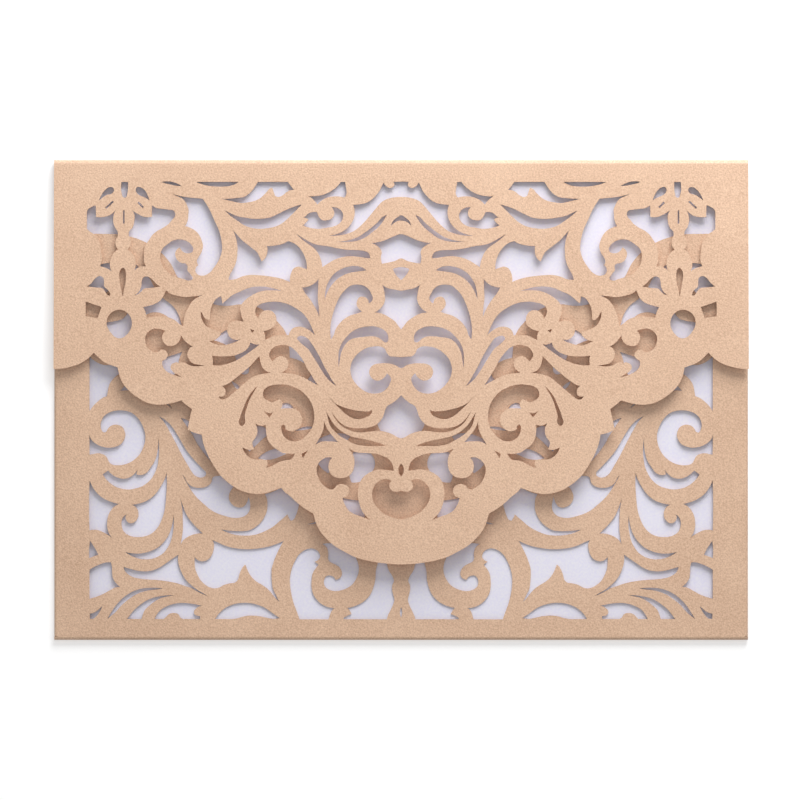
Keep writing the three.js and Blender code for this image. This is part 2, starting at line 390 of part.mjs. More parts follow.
// Openings of the pocket, right half; the left half mirrors them.
const pocketPairs = {
  commaWindow: [
    [62.55, -19.3, CORNER], [62.8, -20.4], [64.2, -23.2], [65.75, -25.3], [67.7, -26.8],
    [69.9, -27.6], [71.95, -27.93, CORNER], [71, -28.35], [70.35, -29.1], [70.05, -30.2],
    [70.2, -31.4], [70.85, -32.35], [71.8, -32.85], [72.8, -32.6], [73.35, -31.9], [73.5, -31.4],
    [73.15, -30.45, CORNER], [74.2, -31.4], [74.55, -32.4], [74.5, -33.6], [74, -35], [73, -35.9],
    [71.5, -36.45], [69.8, -36.55], [68.1, -36.3], [66.4, -35.5], [65, -34.1], [64, -32.3],
    [63.2, -30], [62.8, -27.5], [62.6, -25], [62.45, -22.5],
  ],
  sideTriangle: [
    [83.05, -21.3, CORNER], [83.1, -22.5], [83.1, -34.8, CORNER], [82, -34.6], [80.5, -34.8],
    [79.2, -35.4], [77, -36.8, CORNER], [78.1, -35], [78.4, -33.6], [78.35, -32.2], [78, -30.6],
    [77.3, -29.3], [76.3, -28.3], [75.1, -27.7, CORNER], [77.2, -27.2], [79.15, -26.35],
    [80.6, -25.3], [81.8, -23.9], [82.65, -22.4],
  ],
  tinyTriangle: [
    [82.95, -37.5, CORNER], [83.15, -39.2], [83.15, -42.2, CORNER], [82, -41.7],
    [80.75, -41.3, CORNER], [81.3, -40.1], [82.1, -38.8],
  ],
  cornerWindow: [
    [77.4, -43.3, CORNER], [78.6, -43.3], [80.4, -43.85], [82, -44.6], [83.1, -45.3, CORNER],
    [83.1, -53, CORNER], [82, -52.7], [79.8, -51.9], [77.6, -50.7], [76.2, -50],
    [74.8, -49.9, CORNER], [75.95, -48.9], [76.8, -47.6], [77.05, -46], [77.1, -44.5],
  ],
  teardrop: [
    [79.6, -54.8, CORNER], [80.6, -55.8], [81.7, -56.6], [83, -56.95, CORNER],
    [83, -58.35, CORNER], [82.1, -58.3], [81.2, -57.6], [80.4, -56.5],
  ],
  upperStroke: [
    [63.5, -50.25, CORNER], [65.5, -50.05], [68, -50.1], [70.2, -50.55], [72.2, -51.4],
    [74.3, -52.9], [76, -54.7], [77.3, -56.6], [78.4, -58.4, CORNER], [76.2, -56.6], [74.3, -54.5],
    [72.6, -53.1], [71, -52.05], [69.05, -51.2], [66.85, -50.7], [64.9, -50.5],
  ],
  lowerStroke: [
    [60.55, -52.1, CORNER], [62.75, -52.1], [65, -52.45], [67.35, -53.2], [69.35, -54.45],
    [71.15, -55.95], [72.35, -57.4], [73.1, -58.4, CORNER], [69.25, -58.4, CORNER], [68.85, -57.2],
    [68.4, -56.1], [67.1, -54.8], [65.6, -53.65], [64.1, -52.85], [62.35, -52.4],
  ],
  bumpedArch: [
    [53.05, -54.9, CORNER], [54.7, -54.5], [56.65, -54.2], [58.6, -54.1], [60.8, -54.4],
    [62.7, -55.1], [64.2, -56.05], [65.2, -57.3], [65.75, -58.4, CORNER], [63.3, -58.4, CORNER],
    [62.7, -57.85], [62, -57.15], [60.5, -56.8], [59.4, -57.15], [58.85, -58],
    [58.2, -58.4, CORNER], [53.6, -58.4, CORNER], [53.55, -57.6, CORNER], [54.4, -57.5],
    [55.1, -57.1], [55.2, -56.3], [54.6, -55.5],
  ],
  lowCrescent: [
    [32.3, -58.15, CORNER], [33.9, -57.1], [35.4, -56], [36.8, -55.15], [38.6, -54.5],
    [40.7, -54.1], [42.7, -54.1], [44.9, -54.55], [46.7, -55.35], [48.1, -56.45], [49.1, -57.6],
    [49.6, -58.4, CORNER], [45.5, -58.45, CORNER], [43.6, -58.2], [42.1, -57.75], [40.4, -57.5],
    [38.3, -57.6], [36.5, -57.9], [34.4, -58.35],
  ],
  baseWindow: [
    [3.8, -43.7], [3.2, -45.6], [2.3, -47], [1.9, -48.2], [2.35, -49.4], [2.4, -50.6],
    [2.05, -52.1], [1.8, -53.2], [2.2, -54.7], [2.9, -56.2], [3.6, -57.7], [3.8, -58.5, CORNER],
    [15.4, -58.45, CORNER], [15.3, -58.05, CORNER], [14.3, -57.5], [13.25, -57.1, CORNER],
    [13.7, -56.2], [14.4, -55.4, CORNER], [12.95, -55.15], [11.5, -54.6], [9.7, -53.5],
    [8.4, -52.1], [7.4, -50], [6.9, -47.9], [6.75, -45.6], [6.3, -43.7], [5.9, -41.5],
    [5, -40, CORNER],
  ],
  tallWindow: [
    [19.3, -58.5, CORNER], [27.1, -58.5, CORNER], [27.8, -56.5], [28.6, -54.4], [29.2, -52.1],
    [29.6, -49.4], [29.6, -47], [29.15, -45], [28.4, -43.1], [27.4, -41.4], [26.2, -40.3],
    [24.9, -39.7], [23.55, -39.6], [22.4, -40.1], [21.7, -41.1], [21.65, -42], [22.1, -42.6],
    [23.05, -43.1, CORNER], [22, -43.9, CORNER], [22.7, -44.8], [23.55, -46.2], [23.85, -47.9],
    [23.85, -50], [23.4, -51.8], [22.5, -53.2], [21.2, -54.4], [19.7, -55.15],
    [17.7, -55.45, CORNER], [18.55, -56.3], [19, -57.4],
  ],
  spiralBowl: [
    [21.15, -38.4, CORNER], [19.9, -39.3], [19.45, -40.7], [19.5, -42, CORNER], [19.15, -43],
    [18, -43.65], [16.6, -44.5], [15.9, -45.6], [15.9, -46.9], [16.5, -47.6],
    [17.5, -47.9, CORNER], [17.95, -47.2], [18.85, -46.8], [19.9, -46.95], [20.5, -47.9],
    [20.6, -48.8], [20.2, -49.85], [19.15, -50.6], [17.7, -50.95], [16.2, -50.8], [14.7, -50.3],
    [13.25, -49.4], [12.1, -47.9], [11.4, -46.2], [11.3, -44.4], [11.8, -42.6], [12.9, -40.9],
    [14.6, -39.4], [16.6, -38.6], [18.8, -38.2],
  ],
  hiddenTip: [
    [25, -33.1, CORNER], [23.6, -33.1], [22.2, -32.7], [20.6, -31.6, CORNER], [22.4, -32.3],
    [23.6, -32.75],
  ],
  swoosh: [
    [36.4, -25.1, CORNER], [35.8, -26.4], [35.65, -27.9], [35.8, -29.6], [36.4, -31.1],
    [37.4, -32.6], [38.9, -33.9], [40.4, -34.7], [42.1, -34.95], [44.2, -34.95], [46, -34.8],
    [48.1, -34.5, CORNER], [46.2, -35.4], [44.4, -35.9], [42.4, -36.15], [40.2, -36.1],
    [38.6, -35.85], [36.8, -35.2], [35.35, -34.5], [33.9, -33.6], [32.4, -32.3], [31.2, -31.3],
    [30.35, -30.5, CORNER], [30, -31.3], [29.45, -32.2, CORNER], [28.7, -31.9], [28, -30.6],
    [27.5, -29.1], [27.2, -27.5], [27.6, -25.9], [28.7, -24.3], [30.2, -23.4], [31.7, -23.3],
    [33.9, -24.35],
  ],
  cuppedWindow: [
    [44.5, -23, CORNER], [45.5, -24.3], [45.95, -25.8], [45.6, -27.1], [44.8, -28.05],
    [43.6, -28.6], [42.4, -28.6], [41.4, -27.8], [40.95, -26.8], [40.65, -25.8, CORNER],
    [40.35, -27], [40.2, -28.2], [40.5, -29.7], [41.5, -30.8], [43.3, -31.4], [45.1, -31.4],
    [46.7, -31], [48.9, -30.3], [50.9, -29.2], [52.5, -27.85], [54.2, -26.3], [55.5, -24.75],
    [56.65, -23], [57.5, -21.5], [58.3, -19.9, CORNER], [57.75, -20.6], [57.1, -21.9],
    [56.3, -22.7], [55, -23.3], [53.3, -23.4], [51.7, -23], [50.7, -22.1], [50.2, -20.6],
    [48.5, -20.2], [46.5, -20.5],
  ],
  longLeaf: [
    [64.7, -4.3, CORNER], [63.75, -5.25], [62.85, -6.4], [61.9, -8.1], [60.9, -9.9], [59.9, -11.8],
    [58.95, -13.7], [58, -15.5], [57, -17.2], [56, -18.9], [55.05, -20.1], [54.1, -20.6],
    [52.9, -20.6], [52.1, -20.1], [52, -19.4], [52.85, -18.4], [54.3, -16.9], [56, -15],
    [57.5, -13], [58.7, -10.9], [59.9, -8.9], [61.1, -7.1], [62.4, -5.7], [63.5, -4.9],
  ],
  edgeLeaf: [
    [58.8, -4.75, CORNER], [57.7, -6.2], [56.75, -7.7], [55.5, -9.6], [54.3, -11.8], [53.1, -13.5],
    [51.6, -15.4], [50, -17.1, CORNER], [50.6, -14.6], [51.4, -12], [52.6, -9.6], [54.6, -7.2],
    [56.6, -5.6],
  ],
  sickle: [
    [64.8, -9.8, CORNER], [64.55, -11.8], [64.5, -14], [64.7, -16], [65.05, -17.9], [65.8, -19.65],
    [66.7, -21.1], [67.7, -22.1], [69.05, -23], [70.7, -23.55], [72.4, -23.85], [74.3, -23.7],
    [75.95, -23.2], [77.3, -22.4], [78.4, -21.4], [79.6, -19.85, CORNER], [78.15, -18.8, CORNER],
    [77.1, -19.8], [76, -20.5], [74.6, -20.95], [73.2, -20.9], [71.9, -20.35], [71, -19.55],
    [70.3, -18.5, CORNER], [70.6, -19.8, CORNER], [69.2, -20], [67.9, -19.4], [66.75, -17.9],
    [65.8, -16.45], [65.2, -14.75], [64.85, -12.8],
  ],
  bigSpiral: [
    [83.1, -9, CORNER], [83.1, -11.8], [83.05, -14.6, CORNER], [82.1, -14.4], [80.9, -14.2],
    [79.7, -14.4], [78.7, -15], [78.15, -16], [77.6, -16.9], [76.7, -17.3], [75.3, -17.4],
    [73.8, -17.2], [72.3, -16.65], [70.9, -15.7], [69.9, -14.7], [68.9, -13], [68.3, -11.1],
    [68.2, -9.4], [68.6, -7.7], [69.4, -5.95], [70.55, -4.4], [71.85, -3.4], [73.3, -2.9],
    [74.8, -2.75], [76.5, -2.9], [77.95, -3.4], [79.2, -4.3], [79.9, -5.5], [80.15, -6.7],
    [79.9, -7.9], [79.3, -8.65], [78.7, -8.5], [78.2, -7.7], [77.6, -7.05], [76.5, -6.6],
    [75.3, -6.7], [74.3, -7.3], [73.7, -8.4], [73.55, -9.4], [73.9, -10.6], [74.8, -11.8],
    [76, -12.4], [77.5, -12.7], [79.2, -12.55], [80.6, -12.1], [82.1, -11.1], [82.75, -10.3],
  ],
  sideWindow: [
    [83.1, -3, CORNER], [82.1, -1.6], [80.9, -0.4], [79.7, 0.5], [78.4, 1, CORNER], [78.2, 2.3],
    [78, 3.4], [77.6, 4.5], [76.7, 5.7], [75.7, 6.6], [74.4, 7.2], [73, 7.4, CORNER], [74.2, 8.5],
    [75.5, 9], [77.2, 9.3], [79.4, 9.4], [80.6, 9.8], [81.8, 10.5], [83.1, 11.7, CORNER],
  ],
  shortSlit: [
    [61, -2.35, CORNER], [61.9, -1.2], [63.2, -0.3], [65, 0.4, CORNER], [63.1, -0.6], [62, -1.5],
  ],
  sweep: [
    [51.5, -52.3, CORNER], [53.3, -51.6], [55, -50.7], [56.1, -50.1], [57.5, -49.65],
    [58.9, -49.15], [60.5, -48.7], [62.7, -48.3], [65.2, -48], [67.7, -47.85], [69.9, -47.6],
    [71.5, -47.2], [72.9, -46.4], [73.7, -45.5], [74, -44.5, CORNER], [72.6, -44.9], [71, -45.35],
    [69.3, -45.65], [67.7, -45.65], [66, -45.35], [64.6, -44.75], [63.3, -43.95], [61.9, -42.95],
    [60.5, -42], [59.4, -41.2, CORNER], [59.5, -42.5], [59.3, -43.9], [58.7, -45.6], [57.9, -47.2],
    [56.8, -48.6], [55.5, -49.7], [54.2, -50.7], [52.8, -51.5],
  ],
  spikedWindow: [
    [31.3, -37.5, CORNER], [32.4, -38.05], [33.9, -38.65], [35.9, -39.2], [38.3, -39.6],
    [40.95, -39.8], [43.6, -39.6], [45.6, -39.25], [47.3, -38.7], [48.9, -37.95],
    [50.4, -37.3, CORNER], [49.9, -38.5], [50, -39.8], [50.3, -40.9], [51, -42.1], [52, -42.8],
    [53.1, -43], [54.2, -42.7], [55.05, -41.7, CORNER], [55.05, -43.6], [54.9, -45], [54.3, -46.6],
    [53.5, -48.05], [52.2, -49.3], [50.9, -50], [49.5, -50.25], [48.5, -50], [47.2, -49.3],
    [45.6, -48.9], [44.4, -48.75, CORNER], [43.5, -47.9], [43.2, -46.75], [42.7, -45.4],
    [42.1, -44.4], [41.55, -43.9, CORNER], [41.1, -45], [40.65, -46], [39.8, -47.3], [38.6, -48.4],
    [37.1, -49.3], [35.95, -50.1], [34.8, -51.2], [33.9, -52.35], [32.5, -53.85, CORNER],
    [33.3, -52.1], [34.2, -50.3], [34.45, -48.5], [34.55, -46.75], [34.5, -45], [34, -43.2],
    [33.3, -41.4], [32.5, -39.7],
  ],
  narrowTriangle: [
    [58.95, -26, CORNER], [58.6, -27.6], [58.35, -29.2], [58.25, -30.9], [58.2, -32.7],
    [58.2, -34.5], [58.4, -36.2], [58.9, -38.9, CORNER], [58, -37.3], [56.9, -36.5], [55.5, -35.9],
    [54, -35.6], [52.9, -35.65, CORNER], [53.7, -34.75], [54.7, -33.85], [55.8, -32.6],
    [56.8, -31.3], [57.5, -30], [58, -28.7],
  ],
  crescent: [
    [60.7, -30.65, CORNER], [60.6, -32.3], [60.65, -34], [60.9, -35.65], [61.3, -37.3],
    [62.1, -39.1], [63.3, -40.7], [64.6, -41.65], [66.3, -42.3], [67.95, -42.5], [69.9, -42.3],
    [71.5, -41.75], [72.9, -41], [73.6, -40.5, CORNER], [71.8, -40.85], [69.9, -40.95],
    [68.2, -40.7], [66.6, -40.2], [64.9, -39.35], [63.55, -38.15], [62.4, -36.7], [61.6, -35.1],
    [61.1, -33.4],
  ],
  underHorn: [
    [71, 36.3, CORNER], [72.6, 33], [73.2, 29.5], [73, 26], [73, 23.2], [74.2, 21.7], [76, 21.1],
    [78.6, 20.6], [80.5, 19.3, CORNER], [79, 15.8], [75.5, 13.8], [72, 14.4], [70, 16.8],
    [69.2, 21.4, CORNER], [67.8, 22.8], [65.3, 23.4], [63, 22.7], [61, 20.8], [58, 18.2, CORNER],
    [58.6, 20.4], [59.4, 22.9], [60.8, 25], [63.3, 27], [65.5, 29.5], [67, 32.3],
  ],
  underHeel: [
    [76.6, 36.4, CORNER], [79.6, 36.3], [83.2, 34, CORNER], [83.2, 27, CORNER], [80.6, 27.4],
    [78.2, 29], [77.1, 32],
  ],
  underHook: [
    [58.3, 12.9, CORNER], [60.5, 12.1], [63, 11.3], [66.5, 9.6], [70, 7], [72.8, 4.7],
    [74.9, 2.4, CORNER], [73.3, 2.55], [71.4, 2.3], [68, 3.3], [64, 4.6], [61.2, 6], [59.6, 8.4],
    [59.2, 10.8],
  ],
  underLeaf: [
    [37, 15.6, CORNER], [40, 17.2], [43.5, 18.6], [46.3, 18.7], [48.6, 17.4], [51.2, 16.2, CORNER],
    [48, 15.3], [45.2, 13.6], [44, 10.6], [43, 7.4, CORNER], [41, 7], [40.4, 9], [39.4, 12.4],
  ],
  underWedgeSlit: [
    [45.2, 5, CORNER], [43.5, 4], [42.2, 2.2, CORNER], [44.1, 3.2],
  ],
  underKnob: [
    [21.6, 3.4, CORNER], [22.4, 5.2], [24.1, 6.9, CORNER], [24.7, 5.8], [25.9, 5.2, CORNER],
    [23.8, 3.9],
  ],
  underComma: [
    [28.6, -2.4, CORNER], [29.6, -1.1], [31, -0.8], [32.5, -1.9], [33, -3.4, CORNER], [30.8, -2.9],
  ],
  underCommaSlit: [
    [22.9, -7.3, CORNER], [25.5, -7.1], [28.2, -8.2, CORNER], [25.5, -7.9],
  ],
  underWing: [
    [35, -9, CORNER], [36.6, -7.2], [39.3, -7.2], [40.9, -9], [41.3, -11.4], [40.5, -13.8, CORNER],
    [39, -12.4], [37, -10.5],
  ],
  underWingLow: [
    [29.5, -13.6, CORNER], [32, -12.9], [35, -13.4], [38.2, -15.5, CORNER], [35, -15.9], [32, -15],
  ],
  underHeart: [
    [8, -14.3, CORNER], [10.5, -13.6], [12.9, -14, CORNER], [13, -17], [13.8, -20],
    [13.2, -22, CORNER], [11, -21.8], [8.5, -20], [7, -17.5],
  ],
  underHookLow: [
    [17.6, -16.5, CORNER], [19, -14.6], [21.2, -14.3], [22.7, -16, CORNER], [21.4, -18],
    [19.5, -19.5, CORNER], [18.2, -18.2],
  ],
  underStem: [
    [10, -26.8, CORNER], [13, -26.6], [16.5, -25.8, CORNER], [16, -28.5], [13.5, -31.3],
    [10, -32.8, CORNER], [9.6, -29.8],
  ],
  underHair: [
    [13.5, -9.8, CORNER], [16.5, -8.8], [19.5, -9.3], [23.2, -11.3, CORNER], [20, -12.6],
    [16.5, -12.1],
  ],
};

// Opening of the pocket on the centre line, right half only.
const pocketCentres = {
  centreSlit: [
    [0, -55.2, CORNER], [0.3, -56.5], [0, -58, CORNER],
  ],
};

const wasm = await Module();
wasm.setup();

// Drawn points at the card's size.
function placed(drawnPoints) {
  return drawnPoints.map(([x, y, sharp]) => {
    const point = new THREE.Vector2(x * drawnScale[0], y * drawnScale[1]);
    return { point, sharp: sharp === CORNER };
  });
}

function mirrored(drawnPoints) {
  return drawnPoints.map(([x, y, sharp]) => [-x, y, sharp]);
}

// A half outline that starts and ends on the centre line, joined to its mirror image.
function acrossCentre(drawnPoints) {
  const offCentre = drawnPoints.filter(([x]) => x !== 0);
  return [...drawnPoints, ...mirrored(offCentre).reverse()];
}

// A half edge that ends on the centre line, carried on to the other side.
function acrossCard(drawnPoints) {
  return [...drawnPoints, ...mirrored(drawnPoints.slice(0, -1)).reverse()];
}

// Direction at a point of the circle through it and its two neighbours.
function circleDirection(before, point, after) {
  const back = new THREE.Vector2().subVectors(point, before);
  const ahead = new THREE.Vector2().subVectors(after, point);
  back.divideScalar(back.lengthSq());
  ahead.divideScalar(ahead.lengthSq());
  return back.add(ahead).normalize();
}

function mirroredInChord(direction, chord) {
  const along = chord.clone().normalize();
  return along.multiplyScalar(2 * along.dot(direction)).sub(direction);
}

// Curve between two neighbours: an arc where their directions allow one, and straight between corners.
function stretch(from, to, leaving, arriving) {
  const chord = new THREE.Vector2().subVectors(to, from);
  if (!leaving && !arriving) return [from];
  const start = leaving ?? mirroredInChord(arriving, chord);
  const end = arriving ?? mirroredInChord(leaving, chord);
  const angles = [start, end].map((direction) => Math.acos(THREE.MathUtils.clamp(
    direction.dot(chord) / chord.length(), -1, 1)));
  const handles = angles.map((angle) => chord.length() / (3 * Math.cos(angle / 2) ** 2));
  const curve = new THREE.CubicBezierCurve(
    from,
    from.clone().addScaledVector(start, handles[0]),
    to.clone().addScaledVector(end, -handles[1]),
    to,
  );
  const steps = Math.max(1, Math.ceil((angles[0] + angles[1]) / smoothTurn));
  return curve.getPoints(steps).slice(0, -1);
}

function smoothed(outline, closed) {
  const count = outline.length;
  const directions = outline.map(({ point, sharp }, i) => {
    const isEnd = !closed && (i === 0 || i === count - 1);
    if (sharp || isEnd) return null;
    return circleDirection(outline[(i + count - 1) % count].point, point, outline[(i + 1) % count].point);
  });
  const points = [];
  for (let i = 0; i < (closed ? count : count - 1); i += 1) {
    const next = (i + 1) % count;
    points.push(...stretch(outline[i].point, outline[next].point, directions[i], directions[next]));
  }
  if (!closed) points.push(outline[count - 1].point);
  return points;
}

// The fewest of these points that keep the cut within the tolerance of its curve.
function thinned(points) {
  const first = points[0];
  const last = points[points.length - 1];
  const chord = new THREE.Line3(new THREE.Vector3(first.x, first.y), new THREE.Vector3(last.x, last.y));
  let furthest = 0;
  let distance = 0;
  for (let i = 1; i < points.length - 1; i += 1) {
    const point = new THREE.Vector3(points[i].x, points[i].y);
    const offset = chord.closestPointToPoint(point, true, new THREE.Vector3()).distanceTo(point);
    if (offset > distance) {
      furthest = i;
      distance = offset;
    }
  }
  if (distance <= cutTolerance) return [first, last];
  return [...thinned(points.slice(0, furthest + 1)).slice(0, -1), ...thinned(points.slice(furthest))];
}

function cutLoop(drawnPoints) {
  const points = smoothed(placed(drawnPoints), true);
  const distances = points.map((point) => point.distanceTo(points[0]));
  const opposite = distances.indexOf(Math.max(...distances));
  const there = thinned(points.slice(0, opposite + 1)).slice(0, -1);
  const back = thinned([...points.slice(opposite), points[0]]).slice(0, -1);
  return [...there, ...back];
}

// Waste outside a scalloped edge: from the edge out past the card's sides, and on to a line at this y.
function wasteBeyond(drawnEdge, outerY) {
  const edge = thinned(smoothed(placed(acrossCard(drawnEdge)), false));
  const outerX = cardWidth;
  return [
    new THREE.Vector2(outerX, edge[0].y),
    ...edge,
    new THREE.Vector2(-outerX, edge[0].y),
    new THREE.Vector2(-outerX, outerY),
    new THREE.Vector2(outerX, outerY),
  ];
}

function prism(points, bottom, top) {
  const geometry = new THREE.ExtrudeGeometry(new THREE.Shape(points), {
    depth: top - bottom,
    bevelEnabled: false,
  });
  return geometry.translate(0, 0, bottom);
}

function loopsOf(pairs, centres) {
  const drawn = Object.values(pairs).flatMap((points) => [points, mirrored(points)]);
  drawn.push(...Object.values(centres).map(acrossCentre));
  return drawn.map(cutLoop);
}

// Everything that the laser takes out of one panel, as prisms through that panel alone.
function panelWaste(loops, bottom, top) {
  return mergeGeometries(loops.map((points) => prism(points, bottom, top)));
}

function solid(geometry) {
  geometry.deleteAttribute("normal");
  geometry.deleteAttribute("uv");
  const merged = mergeVertices(geometry);
  return new wasm.Manifold(new wasm.Mesh({
    numProp: 3,
    vertProperties: merged.attributes.position.array,
    triVerts: new Uint32Array(merged.index.array),
  }));
}

function geometryOf(body) {
  const mesh = body.getMesh();
  const geometry = new THREE.BufferGeometry();
  geometry.setAttribute("position", new THREE.BufferAttribute(mesh.vertProperties, 3));
  geometry.setIndex(new THREE.BufferAttribute(mesh.triVerts, 1));
  const faceted = geometry.toNonIndexed();
  faceted.computeVertexNormals();
  return faceted;
}

// Side view of the folded sheet, Y across and Z up: flap, top fold, back, bottom fold, pocket.
function foldedProfile() {
  const quarter = Math.PI / 2;
  const flapLeaves = quarter - flapTilt;
  const reach = cardHeight;
  const along = new THREE.Vector2(-Math.cos(flapTilt), Math.sin(flapTilt)).multiplyScalar(reach);
  const outward = new THREE.Vector2(Math.cos(flapLeaves), Math.sin(flapLeaves));
  const tipAt = (radius) => outward.clone().multiplyScalar(radius).add(along)
    .add(new THREE.Vector2(flapFoldY, flapFoldRadius));
  const tipOuter = tipAt(flapFoldRadius);
  const tipInner = tipAt(flapFoldRadius - sheetThickness);
  const shape = new THREE.Shape();
  shape.moveTo(tipInner.x, tipInner.y);
  shape.lineTo(tipOuter.x, tipOuter.y);
  shape.absarc(flapFoldY, flapFoldRadius, flapFoldRadius, flapLeaves, -quarter, true);
  shape.absarc(pocketFoldY, pocketFoldRadius, pocketFoldRadius, -quarter, -3 * quarter, true);
  shape.lineTo(pocketReachY, pocketTop);
  shape.lineTo(pocketReachY, pocketTop - sheetThickness);
  shape.absarc(pocketFoldY, pocketFoldRadius, pocketFoldRadius - sheetThickness, -3 * quarter, -quarter);
  shape.absarc(flapFoldY, flapFoldRadius, flapFoldRadius - sheetThickness, -quarter, flapLeaves);
  return shape;
}

// End view of one side fold, X across and Z up: pocket, fold, and the tab glued to the back.
function sideFoldProfile(overlap) {
  const quarter = Math.PI / 2;
  const foldX = cardWidth / 2 - sideFoldRadius;
  const foldZ = sheetThickness + sideFoldRadius;
  const shape = new THREE.Shape();
  shape.moveTo(foldX - overlap, pocketTop - sheetThickness);
  shape.lineTo(foldX - overlap, pocketTop);
  shape.absarc(foldX, foldZ, sideFoldRadius, quarter, -quarter, true);
  shape.lineTo(foldX - tabWidth, sheetThickness);
  shape.lineTo(foldX - tabWidth, 2 * sheetThickness);
  shape.absarc(foldX, foldZ, sideFoldRadius - sheetThickness, -quarter, quarter);
  return shape;
}

const axisX = new THREE.Vector3(1, 0, 0);
const axisY = new THREE.Vector3(0, 1, 0);
const axisZ = new THREE.Vector3(0, 0, 1);
const foldSteps = 10;

function extruded(shape, length) {
  const geometry = new THREE.ExtrudeGeometry(shape, {
    depth: length,
    bevelEnabled: false,
    curveSegments: foldSteps,
  });
  return geometry.translate(0, 0, -length / 2);
}

function coverSheet() {
  const sheetGeometry = extruded(foldedProfile(), cardWidth);
  sheetGeometry.applyMatrix4(new THREE.Matrix4().makeBasis(axisY, axisZ, axisX));
  let sheet = solid(sheetGeometry);

  const pocketSideY = placed(pocketEdge)[0].point.y;
  const cutBottom = sheetThickness + pocketGap / 2;
  const sideLength = pocketSideY - pocketFoldY;
  const trimLength = flapFoldY - pocketFoldY;
  const overlap = tabWidth / 2;
  for (const side of [1, -1]) {
    const trim = new THREE.BoxGeometry(2 * sideFoldRadius, trimLength, betweenPanels - cutBottom);
    trim.translate(side * cardWidth / 2, (flapFoldY + pocketFoldY) / 2, (betweenPanels + cutBottom) / 2);
    sheet = sheet.subtract(solid(trim));
    const fold = extruded(sideFoldProfile(overlap), sideLength);
    fold.applyMatrix4(new THREE.Matrix4().makeBasis(axisX, axisZ, axisY.clone().negate()));
    if (side === -1) fold.rotateZ(Math.PI);
    fold.translate(0, pocketFoldY + sideLength / 2, 0);
    sheet = sheet.add(solid(fold));
  }

  const pocketLoops = loopsOf(pocketPairs, pocketCentres);
  pocketLoops.push(wasteBeyond(pocketEdge, flapFoldY));
  sheet = sheet.subtract(solid(panelWaste(pocketLoops, cutBottom, betweenPanels)));

  const aboveFlap = flapFoldTop + cardHeight * Math.sin(flapTilt) + flapGap;
  const flapLoops = loopsOf(flapPairs, flapCentres);
  flapLoops.push(wasteBeyond(flapEdge, -cardHeight));
  sheet = sheet.subtract(solid(panelWaste(flapLoops, betweenPanels, aboveFlap)));
  return geometryOf(sheet);
}

function insertCard() {
  const width = cardWidth - 2 * (sideFoldRadius + tabWidth + insertSideClearance);
  const bottom = pocketFoldY + insertFoldClearance;
  const top = cardHeight / 2 - insertTopInset;
  const geometry = new THREE.BoxGeometry(width, top - bottom, insertThickness);
  return geometry.translate(0, (top + bottom) / 2, sheetThickness + insertThickness / 2);
}

const pearlCard = new THREE.MeshStandardMaterial({ color: 0xe3c3a2, roughness: 0.45, metalness: 0.05 });
const plainCard = new THREE.MeshStandardMaterial({ color: 0xe5e2f8, roughness: 0.6, metalness: 0 });

const group = new THREE.Group();
const cover = new THREE.Mesh(coverSheet(), pearlCard);
cover.name = "cover_sheet";
group.add(cover);
const insert = new THREE.Mesh(insertCard(), plainCard);
insert.name = "insert_card";
group.add(insert);

export default group;
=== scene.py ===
# %% [markdown]
# A laser-cut wedding invitation
# The real one is a single sheet of pearl card. A laser cuts it while it lies flat, and then the
# lower part is folded up as a pocket and the upper part is folded down as a flap. A plain card
# lies in the pocket. This lesson does the same: draw the flat sheet, cut it, fold it, finish it.

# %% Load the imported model
import math

import bpy
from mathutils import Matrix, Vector


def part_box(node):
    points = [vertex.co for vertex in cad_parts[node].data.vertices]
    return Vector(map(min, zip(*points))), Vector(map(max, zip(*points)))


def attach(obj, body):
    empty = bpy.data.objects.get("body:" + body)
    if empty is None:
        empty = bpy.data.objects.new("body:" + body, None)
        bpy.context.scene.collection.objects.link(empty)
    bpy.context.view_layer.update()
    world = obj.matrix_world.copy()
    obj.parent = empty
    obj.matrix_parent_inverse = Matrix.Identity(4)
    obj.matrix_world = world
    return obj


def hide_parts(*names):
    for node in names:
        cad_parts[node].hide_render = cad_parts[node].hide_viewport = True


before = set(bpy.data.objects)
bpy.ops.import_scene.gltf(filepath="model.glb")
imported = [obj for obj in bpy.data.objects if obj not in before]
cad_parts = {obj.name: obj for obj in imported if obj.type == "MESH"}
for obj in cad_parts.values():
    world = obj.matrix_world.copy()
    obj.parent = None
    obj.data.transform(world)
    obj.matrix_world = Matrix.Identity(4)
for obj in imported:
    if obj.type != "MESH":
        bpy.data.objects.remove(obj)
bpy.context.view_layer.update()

# %% [markdown]
# The sheet is drawn in millimetres, as a paper cutter would, and made metres when it is folded.
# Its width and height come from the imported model. The card's thickness, the heights of the two
# folds, the flap's tilt and the glue tabs are guessed from how such cards are usually made.

# %% Sizes of the sheet and its folds
MM = 0.001
cover_low, cover_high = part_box("cover_sheet")
CARD_WIDTH = (cover_high[0] - cover_low[0]) / MM
CARD_HEIGHT = (cover_high[1] - cover_low[1]) / MM
SHEET = 0.3
POCKET_TOP = 1.8
FLAP_FOLD_TOP = 2.5
FLAP_TILT = math.radians(1.85)
TAB_WIDTH = 5.5
GLUE = 0.02
CORNER_RELIEF = 0.2

